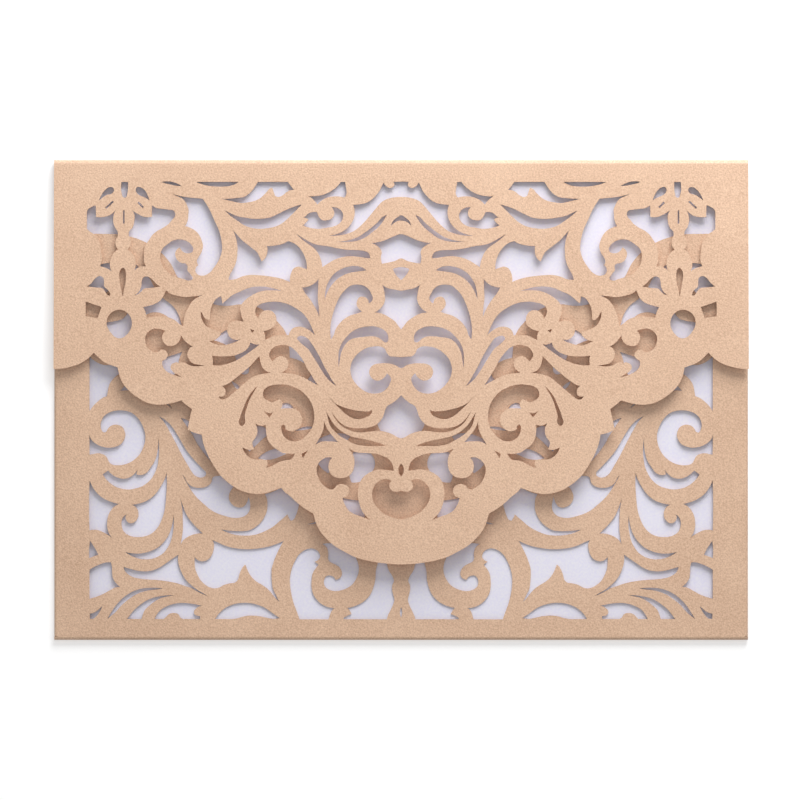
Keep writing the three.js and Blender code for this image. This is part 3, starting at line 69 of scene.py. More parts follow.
POCKET_FOLD_Y = (POCKET_TOP - CARD_HEIGHT) / 2
FLAP_FOLD_Y = (CARD_HEIGHT - FLAP_FOLD_TOP) / 2
POCKET_BEND = (POCKET_TOP - SHEET) / 2
FLAP_BEND = (FLAP_FOLD_TOP - SHEET) / 2
SIDE_BEND = (POCKET_TOP - 2 * SHEET - GLUE) / 2
SIDE_FOLD_X = CARD_WIDTH / 2 - SIDE_BEND - SHEET / 2
POCKET_ARC = math.pi * POCKET_BEND
FLAP_ARC = (math.pi - FLAP_TILT) * FLAP_BEND
SIDE_ARC = math.pi * SIDE_BEND
print(f"card {CARD_WIDTH:.1f} by {CARD_HEIGHT:.1f} mm, side folds at x {SIDE_FOLD_X:.2f} mm")

# %% [markdown]
# The filigree is drawn for the right half, in millimetres about the middle of the card,
# and mirrored. A point marked CORNER is sharp, and a smooth curve runs through all the others. A
# few points, rather than many, keep the scrolls clean.

# %% Drawn outlines
CORNER = True

# Scalloped edge of the flap, right half, from the side to the tip.
FLAP_EDGE = [
    (92.5, 8.25, CORNER), (88, 8.8), (84.5, 10.2), (81.8, 12.6, CORNER), (80.6, 11.4),
    (79.5, 10.4), (78.1, 9.6), (76.4, 9), (75.4, 8.6, CORNER), (75.2, 7.5), (74.7, 5.8),
    (73.6, 3.8), (71.9, 2), (69.9, 0.55), (67.6, -0.7), (65.4, -1.2), (63.1, -1.2), (60.9, -0.8),
    (58.5, -0.1, CORNER), (57.4, -1.1), (55.6, -2.4, CORNER), (56, -4), (56.8, -7.9, CORNER),
    (55, -8.7), (53, -9.2, CORNER), (52.6, -11.5), (51.5, -14.4), (50, -17.2), (47.8, -20.3),
    (45.3, -22.5), (42, -24.3), (40.4, -24.75), (37.7, -25), (35.8, -24.7), (33.7, -24),
    (31.8, -23.4, CORNER), (31, -24.4), (29.6, -25.5), (27.7, -27.25), (25.85, -28.7),
    (23.4, -30.1, CORNER), (23.15, -30.9), (22.6, -32.8), (21.5, -34.9), (19.9, -36.8),
    (17.8, -38.7), (15.1, -40.3), (12.1, -41.8), (8.9, -42.7), (5.4, -43.3), (0, -43.7),
]

# Openings of the flap, right half; the left half mirrors them.
FLAP_PAIRS = {
    "long_top_slot": [
        (43.2, 58.1, CORNER), (54.7, 58.1, CORNER), (51.5, 57.1), (48, 56.85), (45, 57.2),
    ],
    "small_top_slit": [
        (58.4, 56.95, CORNER), (60.9, 58.1), (63.9, 58.1, CORNER), (61.5, 57.4),
    ],
    "big_comma": [
        (62, 55.4, CORNER), (59.1, 54.4), (57.5, 54.1), (54.8, 53.8), (52.9, 53.65, CORNER),
        (51.3, 51.2), (49.8, 48), (48.4, 44.8), (47.8, 42.1), (47.7, 39.9), (48.3, 37.8),
        (49.65, 35.5), (51, 33.9), (52.9, 33.1), (54.4, 33.6), (54.8, 34.6), (54, 35.9, CORNER),
        (54.4, 37), (54, 38), (53.3, 39.1), (52.8, 40.7), (53.15, 42.6), (54.2, 44.5),
        (55.6, 45.6), (57.6, 46.3, CORNER), (56.9, 47.7), (56.7, 49.4), (56.65, 50.7), (57.1, 52),
        (58, 53.4), (59.9, 54.4),
    ],
    "spiral_eye": [
        (55.3, 40.2), (55.85, 41.3), (57.5, 42.5), (59.1, 42.8), (60.7, 42.5), (62.3, 41.4),
        (63.4, 40.5), (64.05, 39.1), (64.1, 37.8), (63.7, 36.15), (62.85, 34.8), (61.5, 33.6),
        (59.9, 32.8), (58, 32.25), (56.4, 31.8), (55.6, 32.1), (56.1, 33.5), (56.9, 34.5),
        (56.9, 35.75), (57.5, 36.4, CORNER), (59.1, 36.8), (60, 38), (60.15, 39.1), (59.6, 40.2),
        (58.9, 40.6, CORNER), (58.5, 39.9), (57.7, 39.25), (56.4, 39.1), (55.6, 39.4),
    ],
    "bud_left": [
        (67, 53.1, CORNER), (67.4, 54.2), (68.2, 55.7), (69.3, 56.6), (70.25, 56.75), (70.7, 56.2),
        (70.5, 55.3), (69.6, 54.5), (68.2, 53.9),
    ],
    "bud_right": [
        (80.5, 53.1, CORNER), (79.8, 54.7), (78.7, 56.1), (77.7, 56.7), (76.7, 56.5), (76.5, 55.8),
        (77.1, 55), (78.5, 54.6), (79.5, 53.9),
    ],
    "bud_top": [
        (72.8, 58.1, CORNER), (74.5, 58.1, CORNER), (74.6, 56.9), (74.5, 55.3), (73.6, 53.9),
        (72.9, 55.3), (72.75, 56.6),
    ],
    "vein_left": [
        (68.5, 51.45, CORNER), (68.9, 51.1, CORNER), (70.3, 52.5, CORNER), (69.9, 52.9, CORNER),
    ],
    "vein_right": [
        (76.5, 52.75, CORNER), (78.5, 50.9, CORNER), (78.9, 51.25, CORNER), (76.9, 53.1, CORNER),
    ],
    "vein_stem": [
        (73.65, 50.5, CORNER), (73.65, 47, CORNER), (74.1, 47, CORNER), (74.1, 50.5, CORNER),
    ],
    "window_left": [
        (66.3, 51.9, CORNER), (66.4, 50.4), (66.35, 48.8, CORNER), (67.4, 48.7), (68.8, 48.9),
        (70, 49.5), (70.9, 50), (71.9, 50.8, CORNER), (71.05, 49.35), (71.05, 47.7), (71.6, 45.85),
        (72.5, 44.8), (72.5, 43.7), (72, 42.6), (72.1, 41.3), (72.8, 40.05, CORNER), (71.7, 39.1),
        (70.9, 37.8), (70.65, 36.4), (70.8, 35.1), (71.15, 34.15, CORNER), (70.5, 34.95),
        (69.3, 35.5), (67.95, 35.6, CORNER), (68.4, 36.7), (68.45, 38.3), (68.4, 39.9),
        (67.95, 41.4), (67.15, 42.6), (66.1, 44.1), (65, 45), (63.4, 45.85), (61.9, 46.9, CORNER),
        (61, 48), (60.3, 48.8), (60.15, 49.6), (60.55, 50.4), (61.8, 50.7), (63.9, 50.95),
        (65.3, 51.2),
    ],
    "window_right": [
        (81.4, 51.9, CORNER), (82.5, 51.4), (83.4, 50.8), (83.7, 49.9, CORNER),
        (83.7, 45.6, CORNER), (82.8, 44.8), (81.7, 44.1), (80.9, 43.15), (80.2, 41.8),
        (79.9, 39.9), (79.7, 38.6), (79.7, 37.2), (80.2, 35.6, CORNER), (79, 35.3), (78, 34.9),
        (77.05, 34.15, CORNER), (77.45, 35.2), (77.5, 36.7), (77, 38.3), (76.2, 39.5),
        (75.4, 40.15, CORNER), (76, 41.3), (76, 42.6), (75.5, 43.7), (75.5, 44.8), (76.3, 46.1),
        (76.7, 47.7), (76.6, 49.1), (75.9, 50.8, CORNER), (76.7, 49.9), (77.9, 49.1),
        (79.3, 48.75), (81.3, 48.75, CORNER), (81.3, 50.4),
    ],
    "stem_drop": [
        (73.95, 35.15), (74.7, 34.7), (75.05, 33.5), (74.9, 31.6), (74.5, 29.4),
        (74.2, 27.5, CORNER), (73.75, 29.4), (73.3, 32.1), (73.3, 33.7), (73.5, 34.7),
    ],
    "heel_left": [
        (64.2, 30.2, CORNER), (65.5, 31.2), (66.6, 32.4), (67.7, 32.9), (68.6, 32.65),
        (69.05, 31.6), (69.2, 30.2), (70.05, 28.6), (71.05, 27.9, CORNER), (70.3, 28.05),
        (69.3, 28.75), (68.5, 29.6), (67.1, 29.8), (65.4, 30),
    ],
    "heel_right": [
        (83.7, 30.2, CORNER), (82.5, 31.05), (81.4, 32.4), (80.2, 33), (79.3, 32.5), (79.1, 31.3),
        (79, 30.2), (77.9, 29.15), (77.4, 27.9, CORNER), (77.9, 27.8), (78.8, 28.9), (79.5, 29.7),
        (81.2, 29.95),
    ],
    "round_hole": [
        (71.65, 20.4), (72.6, 22.9), (74.9, 24.05), (77.3, 23.1), (78.4, 20.6), (77.5, 18.2),
        (74.9, 16.4), (72.5, 18),
    ],
    "notch_right": [
        (79.75, 24.75, CORNER), (83.95, 26.2, CORNER), (84, 22.3, CORNER), (80.8, 21.8, CORNER),
        (80.2, 23.5),
    ],
    "horn_window": [
        (52.8, 27.9, CORNER), (55.2, 27.6), (57.5, 27.4), (59.7, 27.8), (61.4, 28.3),
        (62.6, 29.2, CORNER), (63.1, 28.05), (64, 26.6), (65.4, 25.65), (67.1, 25.1),
        (68.7, 24.7, CORNER), (68.05, 23.5), (67.7, 21.9, CORNER), (65.95, 22.1), (64, 22.3),
        (62, 22), (60.3, 21.3), (59.2, 20.4), (58.05, 19.6, CORNER), (57.9, 21), (57.5, 22.7),
        (56.6, 24.7), (55.4, 26.5), (54.1, 27.35),
    ],
    "leaf_and_crescent": [
        (31.7, 29, CORNER), (33.8, 29.7), (36.7, 30.2), (40, 30), (42.8, 28.9), (45.1, 27.8),
        (46.5, 26.6), (47.6, 25.65, CORNER), (47.9, 27.6, CORNER), (49, 27.1), (50, 25.8),
        (50.6, 24.4), (50.8, 22.7), (50.85, 21.4, CORNER), (51.3, 21.3), (52.4, 22), (53.1, 23.25),
        (53.3, 23.5, CORNER), (53.25, 22.4), (52.8, 21), (51.85, 19.7), (50.4, 18.9), (49, 18.5),
        (48.2, 18.2), (48.05, 17.6), (48.7, 16.6), (49.9, 15.9), (51.2, 15.7, CORNER),
        (49.9, 15.1), (48.5, 14.6), (46.8, 14.65), (45.1, 15.1), (43.7, 15.6),
        (42.8, 16.2, CORNER), (44.2, 16.05), (45.4, 16.6), (46.1, 17.6), (46.25, 18.5),
        (46.1, 19.6), (45.4, 20.7), (44.2, 21.1), (43.1, 21.05), (41.9, 20.8, CORNER),
        (42.4, 22.1), (42.75, 23.5), (42.8, 24.7), (42.5, 25.4), (41.5, 26.6), (39.5, 28),
        (37, 29), (34, 29.2),
    ],
    "strip_under_leaf": [
        (37.6, 14.85, CORNER), (38.9, 14.8), (40.15, 15.35, CORNER), (40.4, 14.4), (41.4, 13.2),
        (42.8, 12.4), (44.2, 11.9), (47.05, 11.6), (50.3, 11.8, CORNER), (50.1, 10.6),
        (50.2, 9.3, CORNER), (48.5, 9.2), (46.8, 9.5), (45.1, 10), (42.8, 11.1), (40.85, 12.4),
        (39.6, 13.3),
    ],
    "nick_upper": [
        (39, 18.5, CORNER), (40.2, 18.9, CORNER), (39.7, 17.9, CORNER),
    ],
    "dot_leaf": [
        (22.9, 17.2, CORNER), (23.4, 18.4), (24.1, 20), (25, 21.65), (26.1, 23), (27.7, 24.2),
        (29.6, 25.3), (31.8, 26), (33.9, 26.2), (35.8, 26), (37.7, 25.4), (38.6, 24.6),
        (38.8, 23.3), (38.4, 22.2), (38, 21.65, CORNER), (37.6, 22.7), (36.6, 23.7), (35.5, 23.9),
        (34.5, 23.7), (33.5, 22.7), (33.2, 21.4), (33.5, 20), (34.5, 19.1), (35.5, 18.6),
        (36.75, 18.4, CORNER), (36.2, 17.2), (36.3, 15.9, CORNER), (35.3, 16.4), (33.7, 17.1),
        (31.8, 17.3), (29.9, 17.2, CORNER), (29.6, 18.2), (28.8, 19.1), (27.5, 19.5), (26.1, 19.4),
        (24.8, 18.8), (23.7, 18),
    ],
    "long_drop": [
        (17.1, 3.6, CORNER), (18.3, 5.2), (19.4, 7.1), (20.5, 9), (21.5, 11.15), (22.9, 13.6),
        (23.95, 15.2), (24.8, 16.3), (25.85, 16.9), (27.2, 17), (27.7, 16.5), (27.2, 15.7),
        (26.1, 14.65), (24.8, 13.6), (23.7, 12), (22.3, 9.8), (21, 7.65), (19.7, 5.8),
    ],
    "knob_window": [
        (22.1, 3.9, CORNER), (23.2, 5.5), (24.2, 7.1), (25.2, 8.7), (25.85, 10.1), (26.9, 11.7),
        (28, 13), (29.3, 14.1), (30.95, 14.6), (32.6, 14.5), (33.9, 14), (34.9, 12.8),
        (35.1, 11.7), (34.7, 10.9), (34.2, 10.3, CORNER), (33.7, 10.75), (33, 11.4), (32, 11.7),
        (30.95, 11.4), (30.2, 10.6), (30, 9.5), (30.3, 8.5), (30.95, 7.8), (31.8, 7.3, CORNER),
        (30.2, 7.1), (28.3, 6.85), (26.4, 6.2), (24.8, 5.4), (23.4, 4.6),
    ],
    "right_wedge": [
        (34.6, 7.3, CORNER), (35.8, 7.65), (36.9, 8.7), (37.4, 10.1), (37.7, 11.7, CORNER),
        (39, 10.3), (40.4, 8.8), (42.3, 7.2), (44.8, 5.2), (46.5, 4.1), (47.7, 3.7, CORNER),
        (47.05, 3.2), (46.7, 2.4), (46.9, 1.4), (47.6, 0.9), (48.5, 1.05, CORNER), (48.2, 0.45),
        (47.5, 0.1), (46.5, 0.4), (45.1, 1.5), (43.4, 2.95), (41.7, 4.4), (40, 5.8), (37.7, 6.8),
        (36.1, 7.1),
    ],
    "large_comma": [
        (36.75, 1.45), (36.35, 2.8), (35.3, 3.6), (33.7, 4), (31.8, 4.15), (29.9, 3.9), (28, 3.2),
        (26.4, 2.3), (25, 0.9), (23.8, -1), (23.2, -3.1), (23.1, -4.7), (23.4, -6.6), (24.2, -8.2),
        (25.4, -9.6), (26.9, -10.7), (28.5, -11), (30.2, -10.5), (31.4, -9.3), (31.8, -8),
        (31.8, -6.9), (31.4, -6.5, CORNER), (31, -6.75), (30.8, -7.7, CORNER), (29.9, -8.2),
        (28.8, -8.3), (27.5, -7.7), (26.5, -6.35), (26.3, -5), (26.65, -3.9), (27.5, -2.85),
        (28.5, -2.3), (30.2, -2.2), (32, -2.3, CORNER), (31.6, -1.4), (32.3, 0.25, CORNER),
        (33.1, -0.15), (34.2, -0.55), (35.5, -0.15), (36.5, 0.65),
    ],
    "curve_slit": [
        (38.2, 3.75, CORNER), (40.5, 1.1), (41.9, -2), (42.8, -4.5), (43.1, -6.2), (42.4, -6.9),
        (41.6, -6.2), (41.6, -4.2), (41.1, -2.2), (40.3, 0.1), (39.2, 2.1),
    ],
    "nick_lower": [
        (33.9, -3.2, CORNER), (34.9, -3.5), (36.6, -2.6, CORNER), (35.7, -3.9), (35, -4.6, CORNER),
        (34.5, -3.9),
    ],
    "wing": [
        (35.95, -6.6, CORNER), (37.7, -6.75), (39.1, -5.9, CORNER), (38.5, -6.9), (38.2, -8.2),
        (38.6, -9.8), (39.6, -11.5), (39.4, -12.3), (39, -13.1, CORNER), (40.4, -13.25),
        (42.2, -12.5, CORNER), (41.2, -14.5), (40.1, -15.4), (38.8, -15.8), (37.2, -15.8),
        (35.8, -15.9, CORNER), (35.5, -17.15), (36, -18, CORNER), (34.7, -17.7), (33.7, -17.15),
        (32.3, -16.4), (30.7, -16), (29.3, -15.8), (28.7, -15.1), (28.2, -14.25, CORNER),
        (29.9, -14.3), (31.5, -14.05), (33.1, -13.1), (34.5, -12), (35.4, -10.7), (35.8, -9.35),
        (35.95, -8),
    ],
    "small_triangle": [
        (24.7, -13.4, CORNER), (26.5, -14.3, CORNER), (26.1, -15.5, CORNER), (25.6, -14.6),
    ],
    "hair_upper": [
        (20.05, 1.7, CORNER), (18.85, 0.4), (17.2, -1.1), (15.1, -2), (12.9, -2.6), (10.2, -3),
        (8.6, -3), (7.7, -2.7, CORNER), (8.1, -3.8), (9.4, -4.6), (11.3, -5.1), (13.2, -4.7),
        (14.8, -3.65), (16.4, -2.2), (18.3, -0.3),
    ],
    "hair_lower": [
        (19.9, -3.1, CORNER), (18.85, -5), (17.5, -6.9), (15.6, -8.5), (13.5, -9.6),
        (10.8, -10.25), (8.1, -10.8), (5.4, -11.6), (3.9, -12.2, CORNER), (6.7, -12.25),
        (9.95, -12.2), (12.1, -11.8), (14.3, -10.7), (16.2, -9.6), (17.5, -8.5), (18.85, -6.9),
        (19.5, -4.7),
    ],
    "bent_triangle": [
        (20.5, -5.5, CORNER), (19.9, -7.2), (18.85, -8.8), (17.5, -10.4), (16.8, -11.2, CORNER),
        (18.85, -11), (21.5, -11.2), (22.8, -12, CORNER), (22.1, -10.8), (21.3, -9.35),
        (20.7, -7.8),
    ],
    "heart_side": [
        (2, -18.8, CORNER), (2.3, -17.15), (3.2, -15.8), (4.85, -14.9), (6.7, -14.3), (9.4, -14.1),
        (12.1, -13.8), (13.2, -13.25), (14, -12.9, CORNER), (13.3, -13.8), (12.65, -14.9),
        (12.4, -16.1), (12.5, -17.7), (12.9, -19), (13.7, -20), (14.8, -20.6), (16.2, -20.8),
        (17.8, -20.4), (18.85, -19.4), (19.3, -18.2), (19.25, -16.9), (18.85, -15.9),
        (18.3, -15.4, CORNER), (19.9, -15.3), (21.3, -16.1), (22.2, -17.3), (22.5, -18.8),
        (22.1, -20.4), (21.3, -22), (19.9, -23.2), (18.6, -23.8), (17.6, -23.3, CORNER),
        (17.2, -22.8), (16.4, -22.4), (15.35, -22.4), (14.3, -22.9), (13.8, -23.9), (13.9, -24.8),
        (14.5, -25.6), (15.5, -26, CORNER), (15.4, -26.7), (14.9, -27.9), (14, -29.3),
        (12.65, -30.2), (10.8, -30.9), (9.4, -31.4), (8.1, -31.95, CORNER), (9.15, -31),
        (10.2, -29.8), (10.9, -28.2), (11.4, -26.3), (11.5, -24.7), (11.4, -23.35), (11, -22),
        (10.2, -20.65), (8.9, -19.6), (7.3, -18.8), (5.4, -18.45), (3.8, -18.6),
    ],
    "crown_side": [
        (14.95, 58.1, CORNER), (16.1, 58.1, CORNER), (16.9, 57.05), (18.3, 55.9), (20, 54.95),
        (22, 54.4), (24.7, 54.3, CORNER), (23.4, 53.4), (22.3, 52.05, CORNER), (21.4, 52.95),
        (20, 53.8), (18.3, 54.2), (16.4, 54.2), (15.1, 53.95, CORNER), (14.6, 54.8), (14.6, 56.1),
        (14.8, 57.2),
    ],
    "small_scroll": [
        (18.6, 51.4, CORNER), (17.5, 51.3), (16.2, 50.7), (15.5, 49.6), (15.6, 48.2), (16.6, 46.9),
        (18.05, 46.2), (19.7, 45.9), (21.7, 45.6), (24, 45.8), (26.2, 46.5, CORNER), (25.4, 47.2),
        (24.7, 48, CORNER), (25.4, 48.5), (26.4, 48.6, CORNER), (25.4, 49), (24.8, 49.6), (24, 50),
        (23.1, 50.1), (22.4, 50, CORNER), (22, 49), (21.15, 48), (19.7, 47.9), (18.3, 48.5),
        (17.8, 49.6), (18.05, 50.7),
    ],
    "big_top_leaf": [
        (30.2, 58.1, CORNER), (38.2, 58.1, CORNER), (38.9, 56.9), (40.05, 55.4), (41.7, 54.2),
        (44, 53.8), (48.05, 53.65, CORNER), (45.3, 53), (44, 52.7), (42.9, 52.5), (40.6, 52.7),
        (39.5, 52.9), (37.5, 53.8), (36.1, 55.1), (34.8, 56.4), (34.3, 56.5, CORNER),
        (33.6, 54.4, CORNER), (32.9, 54.1), (31.6, 54.5), (30.5, 55.4), (29.6, 55.85),
        (28.5, 55.9, CORNER),
    ],
    "second_leaf": [
        (26.4, 52.1, CORNER), (28.2, 51.6), (30.5, 50.7), (32.7, 49.6), (35, 48.6), (37.2, 48.3),
        (39.5, 48.3), (41.7, 48.6), (44, 49.1), (45.5, 49.8), (47, 50.55, CORNER), (46.2, 49.7),
        (45.1, 48.8), (43.4, 47.6), (41.7, 46.5), (40.05, 45.9), (37.8, 45.6), (35.3, 45.8),
        (32.7, 46.5), (31, 47.6), (29.3, 49.2), (27.6, 50.9),
    ],
    "big_window": [
        (30.2, 42.3, CORNER), (31, 41.8), (32.7, 41.3), (35.7, 41, CORNER), (35.6, 39.7),
        (35.8, 38.6), (36.4, 37.5), (37.2, 36.9, CORNER), (37.65, 38), (38.4, 39.4), (39.5, 40.3),
        (40.9, 41.4), (42.3, 42.5), (43.4, 43.7), (44.8, 45.3, CORNER), (44, 43.15), (43.6, 41.1),
        (43.6, 39.4), (43.75, 37.7), (44.2, 36), (44.9, 34.6), (45.6, 33.4), (46, 32, CORNER),
        (44.8, 32.05), (44, 32.2), (42.3, 32.9), (40.05, 33.3), (37.8, 33.2), (35.3, 32.95),
        (32.7, 32.5), (31, 32), (29.6, 31.4, CORNER), (29.6, 32.4), (29.3, 33.8), (28.5, 35.1),
        (27.4, 35.5), (26.2, 35.2), (25.1, 34.8, CORNER), (25.2, 36.6), (25.7, 38.3), (26.65, 40),
        (27.9, 41.3), (29.3, 42.1),
    ],
    "arc_strip": [
        (27.9, 44.2, CORNER), (27.1, 43.7), (25.4, 42.7), (23.7, 41.8), (22, 41.3), (19.7, 41),
        (16.9, 40.4), (14.1, 40), (11.3, 39.9), (9.9, 39.7), (8.7, 39.15), (8.3, 37.7, CORNER),
        (9.9, 37.9), (11.8, 38.2), (13.5, 38.3), (15.8, 38), (18.05, 37.2), (19.7, 36.2),
        (21, 35.35, CORNER), (21.15, 36.6), (21.6, 38), (22.3, 39.4), (23.4, 40.6), (25.1, 41.8),
        (26.8, 43.1),
    ],
    "long_strip": [
        (3.8, 49.3, CORNER), (5, 48.7), (6.2, 47.4), (7.8, 46), (9.5, 44.7), (11.5, 43.4),
        (13.5, 42.7), (17.3, 42.1, CORNER), (14.1, 42.1), (11.8, 42.4), (9.9, 43.1), (7.9, 44.5),
        (5.9, 46.2), (4.8, 47.6),
    ],
    "crescent": [
        (9.2, 34.5, CORNER), (10.4, 35.3), (12.4, 35.7), (14.1, 35.5), (16.1, 34.8), (17.8, 33.65),
        (19, 32.1), (19.7, 30.7), (20.15, 29), (20.3, 26.6, CORNER), (19.4, 29.2), (18.4, 30.7),
        (17.2, 32), (15.6, 33.1), (13.9, 33.8), (11.6, 34.2),
    ],
    "narrow_wedge": [
        (22, 32.3, CORNER), (22.8, 31.3), (24, 30.5), (26.4, 29.95, CORNER), (25.5, 28.4),
        (24.3, 26.9), (23.2, 25.2), (22.35, 23.6), (21.75, 22.05, CORNER), (21.9, 24.6),
        (22.2, 27.3), (22.1, 29.5),
    ],
    "scroll": [
        (7.9, 28.15), (8.5, 29.3), (9.9, 30.4), (11.6, 30.75), (13.3, 30.5), (14.9, 29.3),
        (16.15, 27.8), (17.2, 25.7), (18, 23.5), (18.6, 21.1), (18.85, 18.7), (18.7, 16.1, CORNER),
        (17.9, 17.35), (17.5, 18.7), (16.7, 20), (15.35, 21.4), (13.5, 22.5), (11.8, 23),
        (10.4, 23.5, CORNER), (11.2, 24.2), (11.8, 25.15), (11.7, 26.5), (11, 27.4), (10.1, 27.5),
        (9.3, 27.2), (8.75, 26.5), (8.6, 25.7, CORNER), (7.9, 26.2), (7.5, 27.3),
    ],
    "crescent_low": [
        (3.4, 16.5), (3.8, 17.9), (5.4, 19.1), (7, 19.6), (9.15, 19.55), (11.3, 19.1),
        (12.9, 18.3), (14.5, 16.8), (15.9, 14.9), (16.6, 12.8), (16.7, 10.6), (16.6, 8.5, CORNER),
        (16.3, 10.6), (15.9, 12.8), (15.1, 14.4), (14, 15.7), (12.65, 16.4), (10.8, 16.7),
        (9.15, 16.9), (7, 16.9), (5.65, 16.4), (4.85, 15.7), (4.3, 15.3, CORNER), (3.6, 15.5),
    ],
    "double_hook": [
        (58.6, 17.3, CORNER), (58.8, 16.2), (59.5, 15.1), (60.9, 14.4), (62.3, 14.5), (63.3, 15.5),
        (63.6, 16.6), (63.4, 17.6), (62.7, 18.4, CORNER), (64, 18.8), (65.7, 19), (67.1, 18.3),
        (68, 17.05), (68.05, 15.4), (67.4, 13.95), (66.2, 12.95), (65.2, 12.7), (64, 13.4, CORNER),
        (63.3, 13.4), (62.4, 12.8), (62.1, 11.8), (62.6, 11), (63.5, 10.5, CORNER), (63.55, 9.4),
        (63, 8.2), (61.7, 7.2), (60, 6.5), (58.3, 6.1, CORNER), (59.7, 6.9), (60.9, 7.7),
        (61.35, 8.6), (61.15, 9.4), (60.3, 9.9), (59.5, 10), (59.2, 9.6, CORNER), (58.8, 10),
        (57.8, 10), (56.6, 9.4), (55.2, 9), (53.5, 9), (52, 9.2, CORNER), (54.1, 9.4), (55.8, 10),
        (56.6, 11.1), (56.9, 12.3), (56.6, 13.2), (56.1, 13.95), (55.4, 14.2, CORNER),
        (56.6, 14.9), (57.6, 15.8),
    ],
}

# Openings of the flap that cross the centre line, right half only.
FLAP_CENTRES = {
    "hair_middle": [
        (0, 1.3, CORNER), (0.8, 0.4), (2.15, -0.7), (3.8, -1.8), (4.3, -2.85), (4.7, -4.2),
        (5.5, -5.5), (6.5, -6.5), (8.1, -7.2), (10.2, -7.5), (12.65, -7.4), (14.8, -6.9),
        (16.4, -5.8), (17.8, -4.2), (18.7, -2.7, CORNER), (17.5, -5), (16.2, -6.6), (14.5, -7.7),
        (12.65, -8.4), (10.5, -8.6), (8.3, -8.4), (6.2, -8.2), (4, -8.5), (2.15, -9.2),
        (1.1, -9.85), (0, -10.2, CORNER),
    ],
    "low_diamond": [
        (0, -16.9, CORNER), (0.7, -19), (0, -20.3, CORNER),
    ],
    "heart": [
        (0, -24.15), (1.35, -24.4), (2.7, -23.9), (3.15, -22.7), (2.6, -21.5, CORNER),
        (3.5, -21.1), (4.6, -21.05), (5.9, -21.6), (7, -22.7), (7.6, -24.15), (7.7, -25.5),
        (7.3, -27.1), (6.3, -28.6), (5.1, -29.8), (3.5, -30.75), (1.6, -31.4), (0, -31.75),
    ],
    "crown": [
        (0, 58.2), (2.1, 58.1, CORNER), (1.8, 57.3), (2.1, 56.8), (3.1, 56.5), (3.9, 56.9),
        (4.65, 58, CORNER), (5.2, 56.9), (5.8, 55.65), (6.8, 54.4), (8.2, 53.1), (9.9, 52.35),
        (11.3, 52.1), (12.8, 52, CORNER), (12.4, 50.7), (12.4, 49.3), (12.8, 47.9), (13.8, 46.35),
        (15.2, 45.1), (16.9, 44.3), (19.3, 43.8, CORNER), (16.9, 43.8), (14.7, 44.2), (12.4, 45.1),
        (11, 46.2), (9.6, 47.6), (7.9, 49.6), (6.5, 51.3), (4.8, 53), (2.8, 53.8), (0, 54.1),
    ],
    "chevron": [
        (0, 49.2), (1.1, 48.6), (2, 47.9), (2.7, 46.3, CORNER), (2, 47.05), (1.1, 47.6), (0, 47.8),
    ],
    "rhombus": [
        (0, 44.2), (1.7, 43.7), (3.7, 42.8), (5.1, 42.3), (8, 41.8, CORNER), (6.5, 41.1),
        (5.6, 40.3), (5.2, 39.4), (5.4, 38), (5.1, 36.3, CORNER), (3.4, 36.6), (1.7, 37),
        (0, 37.7),
    ],
    "small_diamond": [
        (0, 35.4), (2.2, 34.9, CORNER), (1.7, 33.8), (0.85, 32.7), (0, 31.95, CORNER),
    ],
    "moustache": [
        (0, 29.1), (1.7, 29.4), (3.7, 29.85), (5, 30.7, CORNER), (4.4, 28.4), (4.25, 27),
        (4.7, 25.4), (5.8, 24.1), (7.1, 23.3, CORNER), (4.85, 22.9), (3, 21.9), (1.6, 20.85),
        (0.8, 19.8), (0, 18.8, CORNER),
    ],
    "twin_eyes": [
        (0, 11.4), (1.6, 11.55), (3, 11.7), (3.8, 12.5), (4.3, 13.6), (5.4, 14.2), (7.3, 14.25),
        (9.15, 13.85), (11.3, 12.5), (12.9, 10.6), (13.5, 8.5), (13.2, 6.3), (12.1, 4.4),
        (10.8, 3.1), (8.9, 2), (7, 1.7), (5.1, 2.1), (3.8, 3.1), (3, 4.4), (2.7, 5.8), (3.2, 6.6),
        (3.8, 7.1, CORNER), (4, 6.6), (4.7, 5.8), (5.8, 5.2), (7, 5.3), (8.1, 6.2), (8.5, 7.4),
        (8.1, 8.7), (7, 9.5), (5.4, 9.75), (3.2, 9.7), (1.6, 9.3), (0, 8.5),
    ],
}

# Top edge of the pocket, right half, from the side to the centre.
POCKET_EDGE = [
    (92.5, 44.3, CORNER), (80, 44.3), (76, 44.2), (72, 43.5), (68, 42), (64, 39.3), (61.5, 36.4),
    (59.6, 32.8), (57, 29.9), (54, 27.6), (51.2, 26, CORNER), (49, 25.3), (46.5, 25.1),
    (42.7, 25.5), (38, 24.6), (33.6, 21.5), (30.7, 17.8), (29.9, 14), (29.7, 11.3, CORNER),
    (26.1, 10), (22.5, 6.9), (18.6, 2.8), (14, 0.4), (10.2, -0.8), (7.6, -1.6, CORNER), (6.6, -4),
    (6.3, -6.5), (5.5, -8.2, CORNER), (3, -10.5), (0, -12.5),
]

